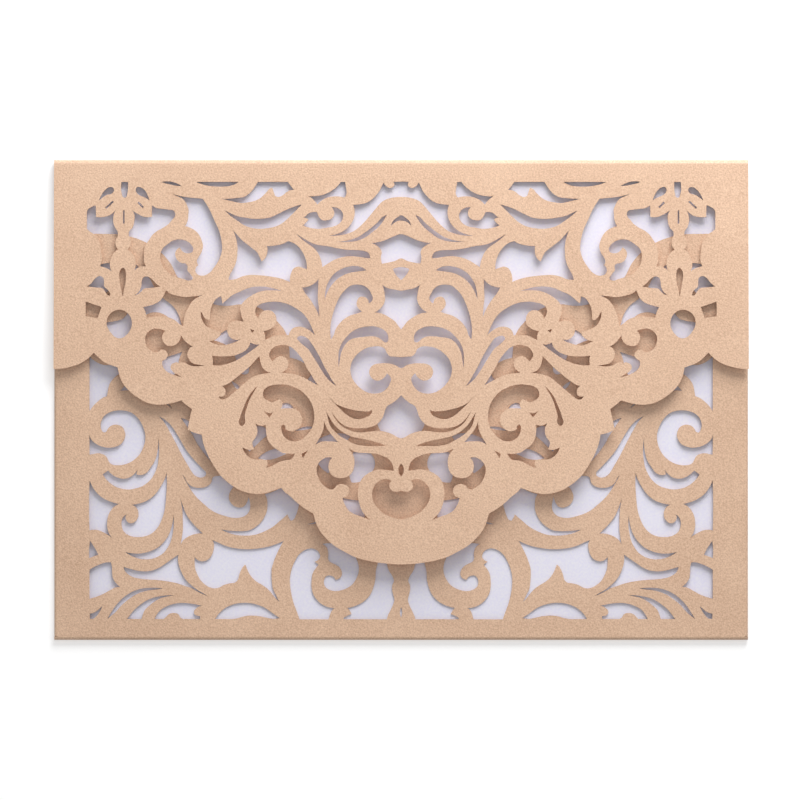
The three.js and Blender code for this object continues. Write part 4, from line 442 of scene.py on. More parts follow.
# Openings of the pocket, right half; the left half mirrors them.
POCKET_PAIRS = {
    "comma_window": [
        (62.55, -19.3, CORNER), (62.8, -20.4), (64.2, -23.2), (65.75, -25.3), (67.7, -26.8),
        (69.9, -27.6), (71.95, -27.93, CORNER), (71, -28.35), (70.35, -29.1), (70.05, -30.2),
        (70.2, -31.4), (70.85, -32.35), (71.8, -32.85), (72.8, -32.6), (73.35, -31.9),
        (73.5, -31.4), (73.15, -30.45, CORNER), (74.2, -31.4), (74.55, -32.4), (74.5, -33.6),
        (74, -35), (73, -35.9), (71.5, -36.45), (69.8, -36.55), (68.1, -36.3), (66.4, -35.5),
        (65, -34.1), (64, -32.3), (63.2, -30), (62.8, -27.5), (62.6, -25), (62.45, -22.5),
    ],
    "side_triangle": [
        (83.05, -21.3, CORNER), (83.1, -22.5), (83.1, -34.8, CORNER), (82, -34.6), (80.5, -34.8),
        (79.2, -35.4), (77, -36.8, CORNER), (78.1, -35), (78.4, -33.6), (78.35, -32.2),
        (78, -30.6), (77.3, -29.3), (76.3, -28.3), (75.1, -27.7, CORNER), (77.2, -27.2),
        (79.15, -26.35), (80.6, -25.3), (81.8, -23.9), (82.65, -22.4),
    ],
    "tiny_triangle": [
        (82.95, -37.5, CORNER), (83.15, -39.2), (83.15, -42.2, CORNER), (82, -41.7),
        (80.75, -41.3, CORNER), (81.3, -40.1), (82.1, -38.8),
    ],
    "corner_window": [
        (77.4, -43.3, CORNER), (78.6, -43.3), (80.4, -43.85), (82, -44.6), (83.1, -45.3, CORNER),
        (83.1, -53, CORNER), (82, -52.7), (79.8, -51.9), (77.6, -50.7), (76.2, -50),
        (74.8, -49.9, CORNER), (75.95, -48.9), (76.8, -47.6), (77.05, -46), (77.1, -44.5),
    ],
    "teardrop": [
        (79.6, -54.8, CORNER), (80.6, -55.8), (81.7, -56.6), (83, -56.95, CORNER),
        (83, -58.35, CORNER), (82.1, -58.3), (81.2, -57.6), (80.4, -56.5),
    ],
    "upper_stroke": [
        (63.5, -50.25, CORNER), (65.5, -50.05), (68, -50.1), (70.2, -50.55), (72.2, -51.4),
        (74.3, -52.9), (76, -54.7), (77.3, -56.6), (78.4, -58.4, CORNER), (76.2, -56.6),
        (74.3, -54.5), (72.6, -53.1), (71, -52.05), (69.05, -51.2), (66.85, -50.7), (64.9, -50.5),
    ],
    "lower_stroke": [
        (60.55, -52.1, CORNER), (62.75, -52.1), (65, -52.45), (67.35, -53.2), (69.35, -54.45),
        (71.15, -55.95), (72.35, -57.4), (73.1, -58.4, CORNER), (69.25, -58.4, CORNER),
        (68.85, -57.2), (68.4, -56.1), (67.1, -54.8), (65.6, -53.65), (64.1, -52.85),
        (62.35, -52.4),
    ],
    "bumped_arch": [
        (53.05, -54.9, CORNER), (54.7, -54.5), (56.65, -54.2), (58.6, -54.1), (60.8, -54.4),
        (62.7, -55.1), (64.2, -56.05), (65.2, -57.3), (65.75, -58.4, CORNER),
        (63.3, -58.4, CORNER), (62.7, -57.85), (62, -57.15), (60.5, -56.8), (59.4, -57.15),
        (58.85, -58), (58.2, -58.4, CORNER), (53.6, -58.4, CORNER), (53.55, -57.6, CORNER),
        (54.4, -57.5), (55.1, -57.1), (55.2, -56.3), (54.6, -55.5),
    ],
    "low_crescent": [
        (32.3, -58.15, CORNER), (33.9, -57.1), (35.4, -56), (36.8, -55.15), (38.6, -54.5),
        (40.7, -54.1), (42.7, -54.1), (44.9, -54.55), (46.7, -55.35), (48.1, -56.45),
        (49.1, -57.6), (49.6, -58.4, CORNER), (45.5, -58.45, CORNER), (43.6, -58.2),
        (42.1, -57.75), (40.4, -57.5), (38.3, -57.6), (36.5, -57.9), (34.4, -58.35),
    ],
    "base_window": [
        (3.8, -43.7), (3.2, -45.6), (2.3, -47), (1.9, -48.2), (2.35, -49.4), (2.4, -50.6),
        (2.05, -52.1), (1.8, -53.2), (2.2, -54.7), (2.9, -56.2), (3.6, -57.7),
        (3.8, -58.5, CORNER), (15.4, -58.45, CORNER), (15.3, -58.05, CORNER), (14.3, -57.5),
        (13.25, -57.1, CORNER), (13.7, -56.2), (14.4, -55.4, CORNER), (12.95, -55.15),
        (11.5, -54.6), (9.7, -53.5), (8.4, -52.1), (7.4, -50), (6.9, -47.9), (6.75, -45.6),
        (6.3, -43.7), (5.9, -41.5), (5, -40, CORNER),
    ],
    "tall_window": [
        (19.3, -58.5, CORNER), (27.1, -58.5, CORNER), (27.8, -56.5), (28.6, -54.4), (29.2, -52.1),
        (29.6, -49.4), (29.6, -47), (29.15, -45), (28.4, -43.1), (27.4, -41.4), (26.2, -40.3),
        (24.9, -39.7), (23.55, -39.6), (22.4, -40.1), (21.7, -41.1), (21.65, -42), (22.1, -42.6),
        (23.05, -43.1, CORNER), (22, -43.9, CORNER), (22.7, -44.8), (23.55, -46.2), (23.85, -47.9),
        (23.85, -50), (23.4, -51.8), (22.5, -53.2), (21.2, -54.4), (19.7, -55.15),
        (17.7, -55.45, CORNER), (18.55, -56.3), (19, -57.4),
    ],
    "spiral_bowl": [
        (21.15, -38.4, CORNER), (19.9, -39.3), (19.45, -40.7), (19.5, -42, CORNER), (19.15, -43),
        (18, -43.65), (16.6, -44.5), (15.9, -45.6), (15.9, -46.9), (16.5, -47.6),
        (17.5, -47.9, CORNER), (17.95, -47.2), (18.85, -46.8), (19.9, -46.95), (20.5, -47.9),
        (20.6, -48.8), (20.2, -49.85), (19.15, -50.6), (17.7, -50.95), (16.2, -50.8),
        (14.7, -50.3), (13.25, -49.4), (12.1, -47.9), (11.4, -46.2), (11.3, -44.4), (11.8, -42.6),
        (12.9, -40.9), (14.6, -39.4), (16.6, -38.6), (18.8, -38.2),
    ],
    "hidden_tip": [
        (25, -33.1, CORNER), (23.6, -33.1), (22.2, -32.7), (20.6, -31.6, CORNER), (22.4, -32.3),
        (23.6, -32.75),
    ],
    "swoosh": [
        (36.4, -25.1, CORNER), (35.8, -26.4), (35.65, -27.9), (35.8, -29.6), (36.4, -31.1),
        (37.4, -32.6), (38.9, -33.9), (40.4, -34.7), (42.1, -34.95), (44.2, -34.95), (46, -34.8),
        (48.1, -34.5, CORNER), (46.2, -35.4), (44.4, -35.9), (42.4, -36.15), (40.2, -36.1),
        (38.6, -35.85), (36.8, -35.2), (35.35, -34.5), (33.9, -33.6), (32.4, -32.3), (31.2, -31.3),
        (30.35, -30.5, CORNER), (30, -31.3), (29.45, -32.2, CORNER), (28.7, -31.9), (28, -30.6),
        (27.5, -29.1), (27.2, -27.5), (27.6, -25.9), (28.7, -24.3), (30.2, -23.4), (31.7, -23.3),
        (33.9, -24.35),
    ],
    "cupped_window": [
        (44.5, -23, CORNER), (45.5, -24.3), (45.95, -25.8), (45.6, -27.1), (44.8, -28.05),
        (43.6, -28.6), (42.4, -28.6), (41.4, -27.8), (40.95, -26.8), (40.65, -25.8, CORNER),
        (40.35, -27), (40.2, -28.2), (40.5, -29.7), (41.5, -30.8), (43.3, -31.4), (45.1, -31.4),
        (46.7, -31), (48.9, -30.3), (50.9, -29.2), (52.5, -27.85), (54.2, -26.3), (55.5, -24.75),
        (56.65, -23), (57.5, -21.5), (58.3, -19.9, CORNER), (57.75, -20.6), (57.1, -21.9),
        (56.3, -22.7), (55, -23.3), (53.3, -23.4), (51.7, -23), (50.7, -22.1), (50.2, -20.6),
        (48.5, -20.2), (46.5, -20.5),
    ],
    "long_leaf": [
        (64.7, -4.3, CORNER), (63.75, -5.25), (62.85, -6.4), (61.9, -8.1), (60.9, -9.9),
        (59.9, -11.8), (58.95, -13.7), (58, -15.5), (57, -17.2), (56, -18.9), (55.05, -20.1),
        (54.1, -20.6), (52.9, -20.6), (52.1, -20.1), (52, -19.4), (52.85, -18.4), (54.3, -16.9),
        (56, -15), (57.5, -13), (58.7, -10.9), (59.9, -8.9), (61.1, -7.1), (62.4, -5.7),
        (63.5, -4.9),
    ],
    "edge_leaf": [
        (58.8, -4.75, CORNER), (57.7, -6.2), (56.75, -7.7), (55.5, -9.6), (54.3, -11.8),
        (53.1, -13.5), (51.6, -15.4), (50, -17.1, CORNER), (50.6, -14.6), (51.4, -12),
        (52.6, -9.6), (54.6, -7.2), (56.6, -5.6),
    ],
    "sickle": [
        (64.8, -9.8, CORNER), (64.55, -11.8), (64.5, -14), (64.7, -16), (65.05, -17.9),
        (65.8, -19.65), (66.7, -21.1), (67.7, -22.1), (69.05, -23), (70.7, -23.55), (72.4, -23.85),
        (74.3, -23.7), (75.95, -23.2), (77.3, -22.4), (78.4, -21.4), (79.6, -19.85, CORNER),
        (78.15, -18.8, CORNER), (77.1, -19.8), (76, -20.5), (74.6, -20.95), (73.2, -20.9),
        (71.9, -20.35), (71, -19.55), (70.3, -18.5, CORNER), (70.6, -19.8, CORNER), (69.2, -20),
        (67.9, -19.4), (66.75, -17.9), (65.8, -16.45), (65.2, -14.75), (64.85, -12.8),
    ],
    "big_spiral": [
        (83.1, -9, CORNER), (83.1, -11.8), (83.05, -14.6, CORNER), (82.1, -14.4), (80.9, -14.2),
        (79.7, -14.4), (78.7, -15), (78.15, -16), (77.6, -16.9), (76.7, -17.3), (75.3, -17.4),
        (73.8, -17.2), (72.3, -16.65), (70.9, -15.7), (69.9, -14.7), (68.9, -13), (68.3, -11.1),
        (68.2, -9.4), (68.6, -7.7), (69.4, -5.95), (70.55, -4.4), (71.85, -3.4), (73.3, -2.9),
        (74.8, -2.75), (76.5, -2.9), (77.95, -3.4), (79.2, -4.3), (79.9, -5.5), (80.15, -6.7),
        (79.9, -7.9), (79.3, -8.65), (78.7, -8.5), (78.2, -7.7), (77.6, -7.05), (76.5, -6.6),
        (75.3, -6.7), (74.3, -7.3), (73.7, -8.4), (73.55, -9.4), (73.9, -10.6), (74.8, -11.8),
        (76, -12.4), (77.5, -12.7), (79.2, -12.55), (80.6, -12.1), (82.1, -11.1), (82.75, -10.3),
    ],
    "side_window": [
        (83.1, -3, CORNER), (82.1, -1.6), (80.9, -0.4), (79.7, 0.5), (78.4, 1, CORNER),
        (78.2, 2.3), (78, 3.4), (77.6, 4.5), (76.7, 5.7), (75.7, 6.6), (74.4, 7.2),
        (73, 7.4, CORNER), (74.2, 8.5), (75.5, 9), (77.2, 9.3), (79.4, 9.4), (80.6, 9.8),
        (81.8, 10.5), (83.1, 11.7, CORNER),
    ],
    "short_slit": [
        (61, -2.35, CORNER), (61.9, -1.2), (63.2, -0.3), (65, 0.4, CORNER), (63.1, -0.6),
        (62, -1.5),
    ],
    "sweep": [
        (51.5, -52.3, CORNER), (53.3, -51.6), (55, -50.7), (56.1, -50.1), (57.5, -49.65),
        (58.9, -49.15), (60.5, -48.7), (62.7, -48.3), (65.2, -48), (67.7, -47.85), (69.9, -47.6),
        (71.5, -47.2), (72.9, -46.4), (73.7, -45.5), (74, -44.5, CORNER), (72.6, -44.9),
        (71, -45.35), (69.3, -45.65), (67.7, -45.65), (66, -45.35), (64.6, -44.75), (63.3, -43.95),
        (61.9, -42.95), (60.5, -42), (59.4, -41.2, CORNER), (59.5, -42.5), (59.3, -43.9),
        (58.7, -45.6), (57.9, -47.2), (56.8, -48.6), (55.5, -49.7), (54.2, -50.7), (52.8, -51.5),
    ],
    "spiked_window": [
        (31.3, -37.5, CORNER), (32.4, -38.05), (33.9, -38.65), (35.9, -39.2), (38.3, -39.6),
        (40.95, -39.8), (43.6, -39.6), (45.6, -39.25), (47.3, -38.7), (48.9, -37.95),
        (50.4, -37.3, CORNER), (49.9, -38.5), (50, -39.8), (50.3, -40.9), (51, -42.1), (52, -42.8),
        (53.1, -43), (54.2, -42.7), (55.05, -41.7, CORNER), (55.05, -43.6), (54.9, -45),
        (54.3, -46.6), (53.5, -48.05), (52.2, -49.3), (50.9, -50), (49.5, -50.25), (48.5, -50),
        (47.2, -49.3), (45.6, -48.9), (44.4, -48.75, CORNER), (43.5, -47.9), (43.2, -46.75),
        (42.7, -45.4), (42.1, -44.4), (41.55, -43.9, CORNER), (41.1, -45), (40.65, -46),
        (39.8, -47.3), (38.6, -48.4), (37.1, -49.3), (35.95, -50.1), (34.8, -51.2), (33.9, -52.35),
        (32.5, -53.85, CORNER), (33.3, -52.1), (34.2, -50.3), (34.45, -48.5), (34.55, -46.75),
        (34.5, -45), (34, -43.2), (33.3, -41.4), (32.5, -39.7),
    ],
    "narrow_triangle": [
        (58.95, -26, CORNER), (58.6, -27.6), (58.35, -29.2), (58.25, -30.9), (58.2, -32.7),
        (58.2, -34.5), (58.4, -36.2), (58.9, -38.9, CORNER), (58, -37.3), (56.9, -36.5),
        (55.5, -35.9), (54, -35.6), (52.9, -35.65, CORNER), (53.7, -34.75), (54.7, -33.85),
        (55.8, -32.6), (56.8, -31.3), (57.5, -30), (58, -28.7),
    ],
    "crescent": [
        (60.7, -30.65, CORNER), (60.6, -32.3), (60.65, -34), (60.9, -35.65), (61.3, -37.3),
        (62.1, -39.1), (63.3, -40.7), (64.6, -41.65), (66.3, -42.3), (67.95, -42.5), (69.9, -42.3),
        (71.5, -41.75), (72.9, -41), (73.6, -40.5, CORNER), (71.8, -40.85), (69.9, -40.95),
        (68.2, -40.7), (66.6, -40.2), (64.9, -39.35), (63.55, -38.15), (62.4, -36.7),
        (61.6, -35.1), (61.1, -33.4),
    ],
    "under_horn": [
        (71, 36.3, CORNER), (72.6, 33), (73.2, 29.5), (73, 26), (73, 23.2), (74.2, 21.7),
        (76, 21.1), (78.6, 20.6), (80.5, 19.3, CORNER), (79, 15.8), (75.5, 13.8), (72, 14.4),
        (70, 16.8), (69.2, 21.4, CORNER), (67.8, 22.8), (65.3, 23.4), (63, 22.7), (61, 20.8),
        (58, 18.2, CORNER), (58.6, 20.4), (59.4, 22.9), (60.8, 25), (63.3, 27), (65.5, 29.5),
        (67, 32.3),
    ],
    "under_heel": [
        (76.6, 36.4, CORNER), (79.6, 36.3), (83.2, 34, CORNER), (83.2, 27, CORNER), (80.6, 27.4),
        (78.2, 29), (77.1, 32),
    ],
    "under_hook": [
        (58.3, 12.9, CORNER), (60.5, 12.1), (63, 11.3), (66.5, 9.6), (70, 7), (72.8, 4.7),
        (74.9, 2.4, CORNER), (73.3, 2.55), (71.4, 2.3), (68, 3.3), (64, 4.6), (61.2, 6),
        (59.6, 8.4), (59.2, 10.8),
    ],
    "under_leaf": [
        (37, 15.6, CORNER), (40, 17.2), (43.5, 18.6), (46.3, 18.7), (48.6, 17.4),
        (51.2, 16.2, CORNER), (48, 15.3), (45.2, 13.6), (44, 10.6), (43, 7.4, CORNER), (41, 7),
        (40.4, 9), (39.4, 12.4),
    ],
    "under_wedge_slit": [
        (45.2, 5, CORNER), (43.5, 4), (42.2, 2.2, CORNER), (44.1, 3.2),
    ],
    "under_knob": [
        (21.6, 3.4, CORNER), (22.4, 5.2), (24.1, 6.9, CORNER), (24.7, 5.8), (25.9, 5.2, CORNER),
        (23.8, 3.9),
    ],
    "under_comma": [
        (28.6, -2.4, CORNER), (29.6, -1.1), (31, -0.8), (32.5, -1.9), (33, -3.4, CORNER),
        (30.8, -2.9),
    ],
    "under_comma_slit": [
        (22.9, -7.3, CORNER), (25.5, -7.1), (28.2, -8.2, CORNER), (25.5, -7.9),
    ],
    "under_wing": [
        (35, -9, CORNER), (36.6, -7.2), (39.3, -7.2), (40.9, -9), (41.3, -11.4),
        (40.5, -13.8, CORNER), (39, -12.4), (37, -10.5),
    ],
    "under_wing_low": [
        (29.5, -13.6, CORNER), (32, -12.9), (35, -13.4), (38.2, -15.5, CORNER), (35, -15.9),
        (32, -15),
    ],
    "under_heart": [
        (8, -14.3, CORNER), (10.5, -13.6), (12.9, -14, CORNER), (13, -17), (13.8, -20),
        (13.2, -22, CORNER), (11, -21.8), (8.5, -20), (7, -17.5),
    ],
    "under_hook_low": [
        (17.6, -16.5, CORNER), (19, -14.6), (21.2, -14.3), (22.7, -16, CORNER), (21.4, -18),
        (19.5, -19.5, CORNER), (18.2, -18.2),
    ],
    "under_stem": [
        (10, -26.8, CORNER), (13, -26.6), (16.5, -25.8, CORNER), (16, -28.5), (13.5, -31.3),
        (10, -32.8, CORNER), (9.6, -29.8),
    ],
    "under_hair": [
        (13.5, -9.8, CORNER), (16.5, -8.8), (19.5, -9.3), (23.2, -11.3, CORNER), (20, -12.6),
        (16.5, -12.1),
    ],
}

# Opening of the pocket on the centre line, right half only.
POCKET_CENTRES = {
    "centre_slit": [
        (0, -55.2, CORNER), (0.3, -56.5), (0, -58, CORNER),
    ],
}

print(len(FLAP_PAIRS) + len(POCKET_PAIRS), "openings in each half, and",
      len(FLAP_CENTRES) + len(POCKET_CENTRES), "on the centre line")

# %% [markdown]
# Before it is folded, the sheet is one flat shape: the back in the middle, the pocket below it and
# upside down, the flap above it. So a point of the pocket or the flap is first put where it lies
# on the flat sheet. Each fold takes up the length of its bend, measured half way through the card.
# Three separate panels would be easier to place, but their seams would show at the folds.

# %% Where each panel lies on the flat sheet
def on_flat_pocket(point):
    x, y, *sharp = point
    return (x, 2 * POCKET_FOLD_Y - POCKET_ARC - y, *sharp)


def on_flat_flap(point):
    x, y, *sharp = point
    panel_start = FLAP_FOLD_Y + FLAP_BEND * math.sin(FLAP_TILT)
    return (x, FLAP_FOLD_Y + FLAP_ARC + (panel_start - y) / math.cos(FLAP_TILT), *sharp)


def mirrored(points):
    return [(-x, y, *sharp) for x, y, *sharp in points]


def across_centre(points):
    off_centre = [point for point in points if point[0] != 0]
    return points + mirrored(off_centre)[::-1]


flat_bottom = min(on_flat_pocket(point)[1] for point in POCKET_EDGE)
flat_top = max(on_flat_flap(point)[1] for point in FLAP_EDGE)
print(f"flat sheet {flat_top - flat_bottom:.1f} mm long")

# %% [markdown]
# A Bezier curve goes through every drawn point. At a smooth point it takes the direction of the
# circle through that point and its two neighbours, and each handle is as long as an arc needs.
# That gives even scrolls from few points, where automatic handles would bulge at uneven steps.

# %% Curve through drawn points
CURVE_STEPS = 6


def circle_direction(before, spot, after):
    back = spot - before
    ahead = after - spot
    return (back / back.length_squared + ahead / ahead.length_squared).normalized()


def mirrored_in(direction, chord):
    along = chord.normalized()
    return 2 * along.dot(direction) * along - direction


# The handle length with which a Bezier curve keeps closest to a circle.
def handle_reach(direction, chord):
    return chord.length / (3 * math.cos(direction.angle(chord) / 2) ** 2)


def join_knots(knot, following, leaving, arriving):
    chord = following.co - knot.co
    if leaving is None and arriving is None:
        knot.handle_right_type = "VECTOR"
        following.handle_left_type = "VECTOR"
        return
    if leaving is None:
        leaving = mirrored_in(arriving, chord)
    if arriving is None:
        arriving = mirrored_in(leaving, chord)
    knot.handle_right = knot.co + leaving * handle_reach(leaving, chord)
    following.handle_left = following.co - arriving * handle_reach(arriving, chord)


def add_loop(curve, points):
    spline = curve.splines.new("BEZIER")
    spline.use_cyclic_u = True
    spline.resolution_u = CURVE_STEPS
    spline.bezier_points.add(len(points) - 1)
    knots = spline.bezier_points
    for knot, point in zip(knots, points):
        knot.co = (point[0], point[1], 0)
        knot.handle_left_type = "FREE"
        knot.handle_right_type = "FREE"
    directions = []
    for i, point in enumerate(points):
        before, after = knots[i - 1].co, knots[(i + 1) % len(points)].co
        smooth = CORNER not in point[2:]
        directions.append(circle_direction(before, knots[i].co, after) if smooth else None)
    for i in range(len(points)):
        j = (i + 1) % len(points)
        join_knots(knots[i], knots[j], directions[i], directions[j])


print("each curve takes", CURVE_STEPS, "steps from one drawn point to the next")

# %% [markdown]
# The flat sheet is one closed outline with many loops inside it. The pocket's tabs stick out at
# both sides, with a small relief cut beside the bottom fold, so that the two folds don't tear each
# other.

# %% Outline and openings of the flat sheet
def sheet_outline():
    side_y = POCKET_EDGE[0][1]
    tab_end = SIDE_FOLD_X + SIDE_ARC + TAB_WIDTH
    relief_y = POCKET_FOLD_Y + CORNER_RELIEF
    tab_corners = [
        (tab_end, side_y, CORNER),
        (tab_end, relief_y, CORNER),
        (SIDE_FOLD_X, relief_y, CORNER),
        (SIDE_FOLD_X, POCKET_FOLD_Y, CORNER),
        (CARD_WIDTH / 2, POCKET_FOLD_Y, CORNER),
    ]
    pocket_side = [on_flat_pocket(point) for point in POCKET_EDGE[::-1] + tab_corners]
    flap_side = [on_flat_flap(point) for point in FLAP_EDGE]
    return across_centre(pocket_side + flap_side)


def opening_loops(pairs, centres, on_flat):
    loops = []
    for points in pairs.values():
        flat_points = [on_flat(point) for point in points]
        loops += [flat_points, mirrored(flat_points)]
    for points in centres.values():
        loops.append(across_centre([on_flat(point) for point in points]))
    return loops


sheet_loops = [sheet_outline()]
sheet_loops += opening_loops(POCKET_PAIRS, POCKET_CENTRES, on_flat_pocket)
sheet_loops += opening_loops(FLAP_PAIRS, FLAP_CENTRES, on_flat_flap)
print("one outline and", len(sheet_loops) - 1, "openings")

# %% [markdown]
# A flat curve fills the space between its loops and gives it thickness, so every opening is a true
# hole with square walls. The openings could also be cut out of a slab one after another, but the
# filled curve takes them all at once.

# %% Cut the flat sheet
def select_only(piece):
    bpy.ops.object.select_all(action="DESELECT")
    piece.select_set(True)
    bpy.context.view_layer.objects.active = piece


def flat_sheet(loops):
    curve = bpy.data.curves.new("folded_cover", "CURVE")
    curve.dimensions = "2D"
    curve.fill_mode = "BOTH"
    curve.extrude = SHEET / 2
    for points in loops:
        add_loop(curve, points)
    piece = bpy.data.objects.new("folded_cover", curve)
    bpy.context.collection.objects.link(piece)
    select_only(piece)
    bpy.ops.object.convert(target="MESH")
    return bpy.context.view_layer.objects.active


cover = flat_sheet(sheet_loops)
print("flat sheet", len(cover.data.vertices), "points,", len(cover.data.polygons), "faces")

# %% [markdown]
# The filled curve comes with its walls and its faces apart, so they are merged into one closed
# skin. The sheet then needs lines of points where it is to bend: bisect cuts it straight across.

# %% Score the fold lines
WELD = 0.0005
BOTTOM_FOLD_STEPS = 12
TOP_FOLD_STEPS = 20
SIDE_FOLD_STEPS = 10


def score(spot, normal):
    bpy.ops.mesh.select_all(action="SELECT")
    bpy.ops.mesh.bisect(plane_co=spot, plane_no=normal)


def fold_lines(start, length, steps):
    return [start + length * step / steps for step in range(steps + 1)]


select_only(cover)
bpy.ops.object.mode_set(mode="EDIT")
bpy.ops.mesh.select_all(action="SELECT")
bpy.ops.mesh.remove_doubles(threshold=WELD)
bpy.ops.mesh.normals_make_consistent(inside=False)
for y in fold_lines(POCKET_FOLD_Y, -POCKET_ARC, BOTTOM_FOLD_STEPS):
    score((0, y, 0), (0, 1, 0))
for y in fold_lines(FLAP_FOLD_Y, FLAP_ARC, TOP_FOLD_STEPS):
    score((0, y, 0), (0, 1, 0))
for x in fold_lines(SIDE_FOLD_X, SIDE_ARC, SIDE_FOLD_STEPS):
    score((x, 0, 0), (1, 0, 0))
    score((-x, 0, 0), (1, 0, 0))
bpy.ops.mesh.select_all(action="DESELECT")
bpy.ops.mesh.select_non_manifold()
bpy.ops.object.mode_set(mode="OBJECT")
open_edges = sum(edge.select for edge in cover.data.edges)
print("scored sheet", len(cover.data.polygons), "faces,", open_edges, "edges not closed")

# %% [markdown]
# Card keeps its length when it bends. So each point is carried along the fold: it goes round the
# bend by its distance from the fold line, and then on along the next panel. Points on the inner
# side of the card go round a slightly smaller circle than those on the outer side. Turning each
# panel about a sharp line would be shorter, but real card has a small round fold. The walls that
# the laser cut are marked first, while they still stand upright, because they get a finish of
# their own.

# %% Fold it up
EDGE_SLOT = 1
WALL_SLOPE = 0.5
SMOOTH_ANGLE = math.radians(30)


def past_side_fold(x, inward):
    side = math.copysign(1, x)
    beyond = abs(x) - SIDE_FOLD_X
    centre_z = POCKET_TOP - SHEET / 2 - SIDE_BEND
    radius = SIDE_BEND - inward
    turn = min(beyond / SIDE_BEND, math.pi)
    along_tab = max(beyond - SIDE_ARC, 0)
    folded_x = SIDE_FOLD_X + radius * math.sin(turn) - along_tab
    return side * folded_x, centre_z + radius * math.cos(turn)


def on_pocket(x, y, inward):
    turn = min((POCKET_FOLD_Y - y) / POCKET_BEND, math.pi)
    along = max(POCKET_FOLD_Y - POCKET_ARC - y, 0)
    radius = POCKET_BEND - inward
    folded_y = POCKET_FOLD_Y - radius * math.sin(turn) + along
    z = POCKET_TOP / 2 - radius * math.cos(turn)
    if along >= CORNER_RELIEF / 2 and abs(x) > SIDE_FOLD_X:
        x, z = past_side_fold(x, inward)
    return x, folded_y, z


def on_flap(x, y, inward):
    turn = min((y - FLAP_FOLD_Y) / FLAP_BEND, math.pi - FLAP_TILT)
    along = max(y - FLAP_FOLD_Y - FLAP_ARC, 0)
    radius = FLAP_BEND - inward
    folded_y = FLAP_FOLD_Y + radius * math.sin(turn) - along * math.cos(FLAP_TILT)
    z = FLAP_FOLD_TOP / 2 - radius * math.cos(turn) + along * math.sin(FLAP_TILT)
    return x, folded_y, z


def folded(spot):
    x, y, inward = spot
    if y < POCKET_FOLD_Y:
        spot = on_pocket(x, y, inward)
    elif y > FLAP_FOLD_Y:
        spot = on_flap(x, y, inward)
    else:
        spot = (x, y, SHEET / 2 + inward)
    return Vector(spot) * MM


for face in cover.data.polygons:
    if abs(face.normal.z) < WALL_SLOPE:
        face.material_index = EDGE_SLOT
for vertex in cover.data.vertices:
    vertex.co = folded(vertex.co)
select_only(cover)
bpy.ops.object.shade_smooth_by_angle(angle=SMOOTH_ANGLE)
print("folded cover", [round(side / MM, 2) for side in cover.dimensions], "mm")

# %% [markdown]
# The card in the pocket is a plain cut sheet, but never quite flat: its sides lie on the back and
# its middle bows up, almost to the pocket, so it looks bright through the openings. A box is
# subdivided so that it can bow, and a narrow bevel takes the knife-sharp look off its edges.

# %% Plain card in the pocket
BOW = 0.72
BOW_POWER = 4
INSERT_CUTS = 23
INSERT_BEVEL = 0.04
BEVEL_STEPS = 2


def plain_card():
    low, high = (Vector(corner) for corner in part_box("insert_card"))
    bpy.ops.object.select_all(action="DESELECT")
    bpy.ops.mesh.primitive_cube_add(size=1, location=(low + high) / 2, scale=high - low)
    piece = bpy.context.object
    piece.name = "plain_insert"
    bpy.ops.object.transform_apply(location=True, rotation=True, scale=True)
    bpy.ops.object.mode_set(mode="EDIT")
    bpy.ops.mesh.select_all(action="SELECT")
    bpy.ops.mesh.subdivide(number_cuts=INSERT_CUTS)
    bpy.ops.object.mode_set(mode="OBJECT")
    half_width = (high.x - low.x) / 2
    for vertex in piece.data.vertices:
        vertex.co.z += BOW * MM * (1 - (vertex.co.x / half_width) ** BOW_POWER)
    bevel = piece.modifiers.new("soft edges", "BEVEL")
    bevel.width = INSERT_BEVEL * MM
    bevel.segments = BEVEL_STEPS
    bpy.ops.object.modifier_apply(modifier=bevel.name)
    bpy.ops.object.shade_smooth_by_angle(angle=SMOOTH_ANGLE)
    return piece


insert = plain_card()
print("plain card", len(insert.data.polygons), "faces")

# %% [markdown]
# Pearl card has a champagne pulp with mica in its coating: a fine pebbled grain, a slow change of
# tone and a soft shine. The grain is a noise on object coordinates, used both for the tone and for
# a very low bump, so that one pattern explains what is seen and what is felt. A picture of paper
# would do too, but a noise has no seam and can be changed by a number.

# %% Finish of a paper
CLOUD_SIZE = 18
CLOUD_SHARE = 0.2
GRAIN_DETAIL = 3
DARK_END = 0.3
LIGHT_END = 0.7


# A colour code as it is seen on a screen, made the even scale of light that a shader reads.
def linear(hex_code):
    channels = [int(hex_code[i:i + 2], 16) / 255 for i in (0, 2, 4)]
    return [c / 12.92 if c <= 0.04045 else ((c + 0.055) / 1.055) ** 2.4 for c in channels] + [1]


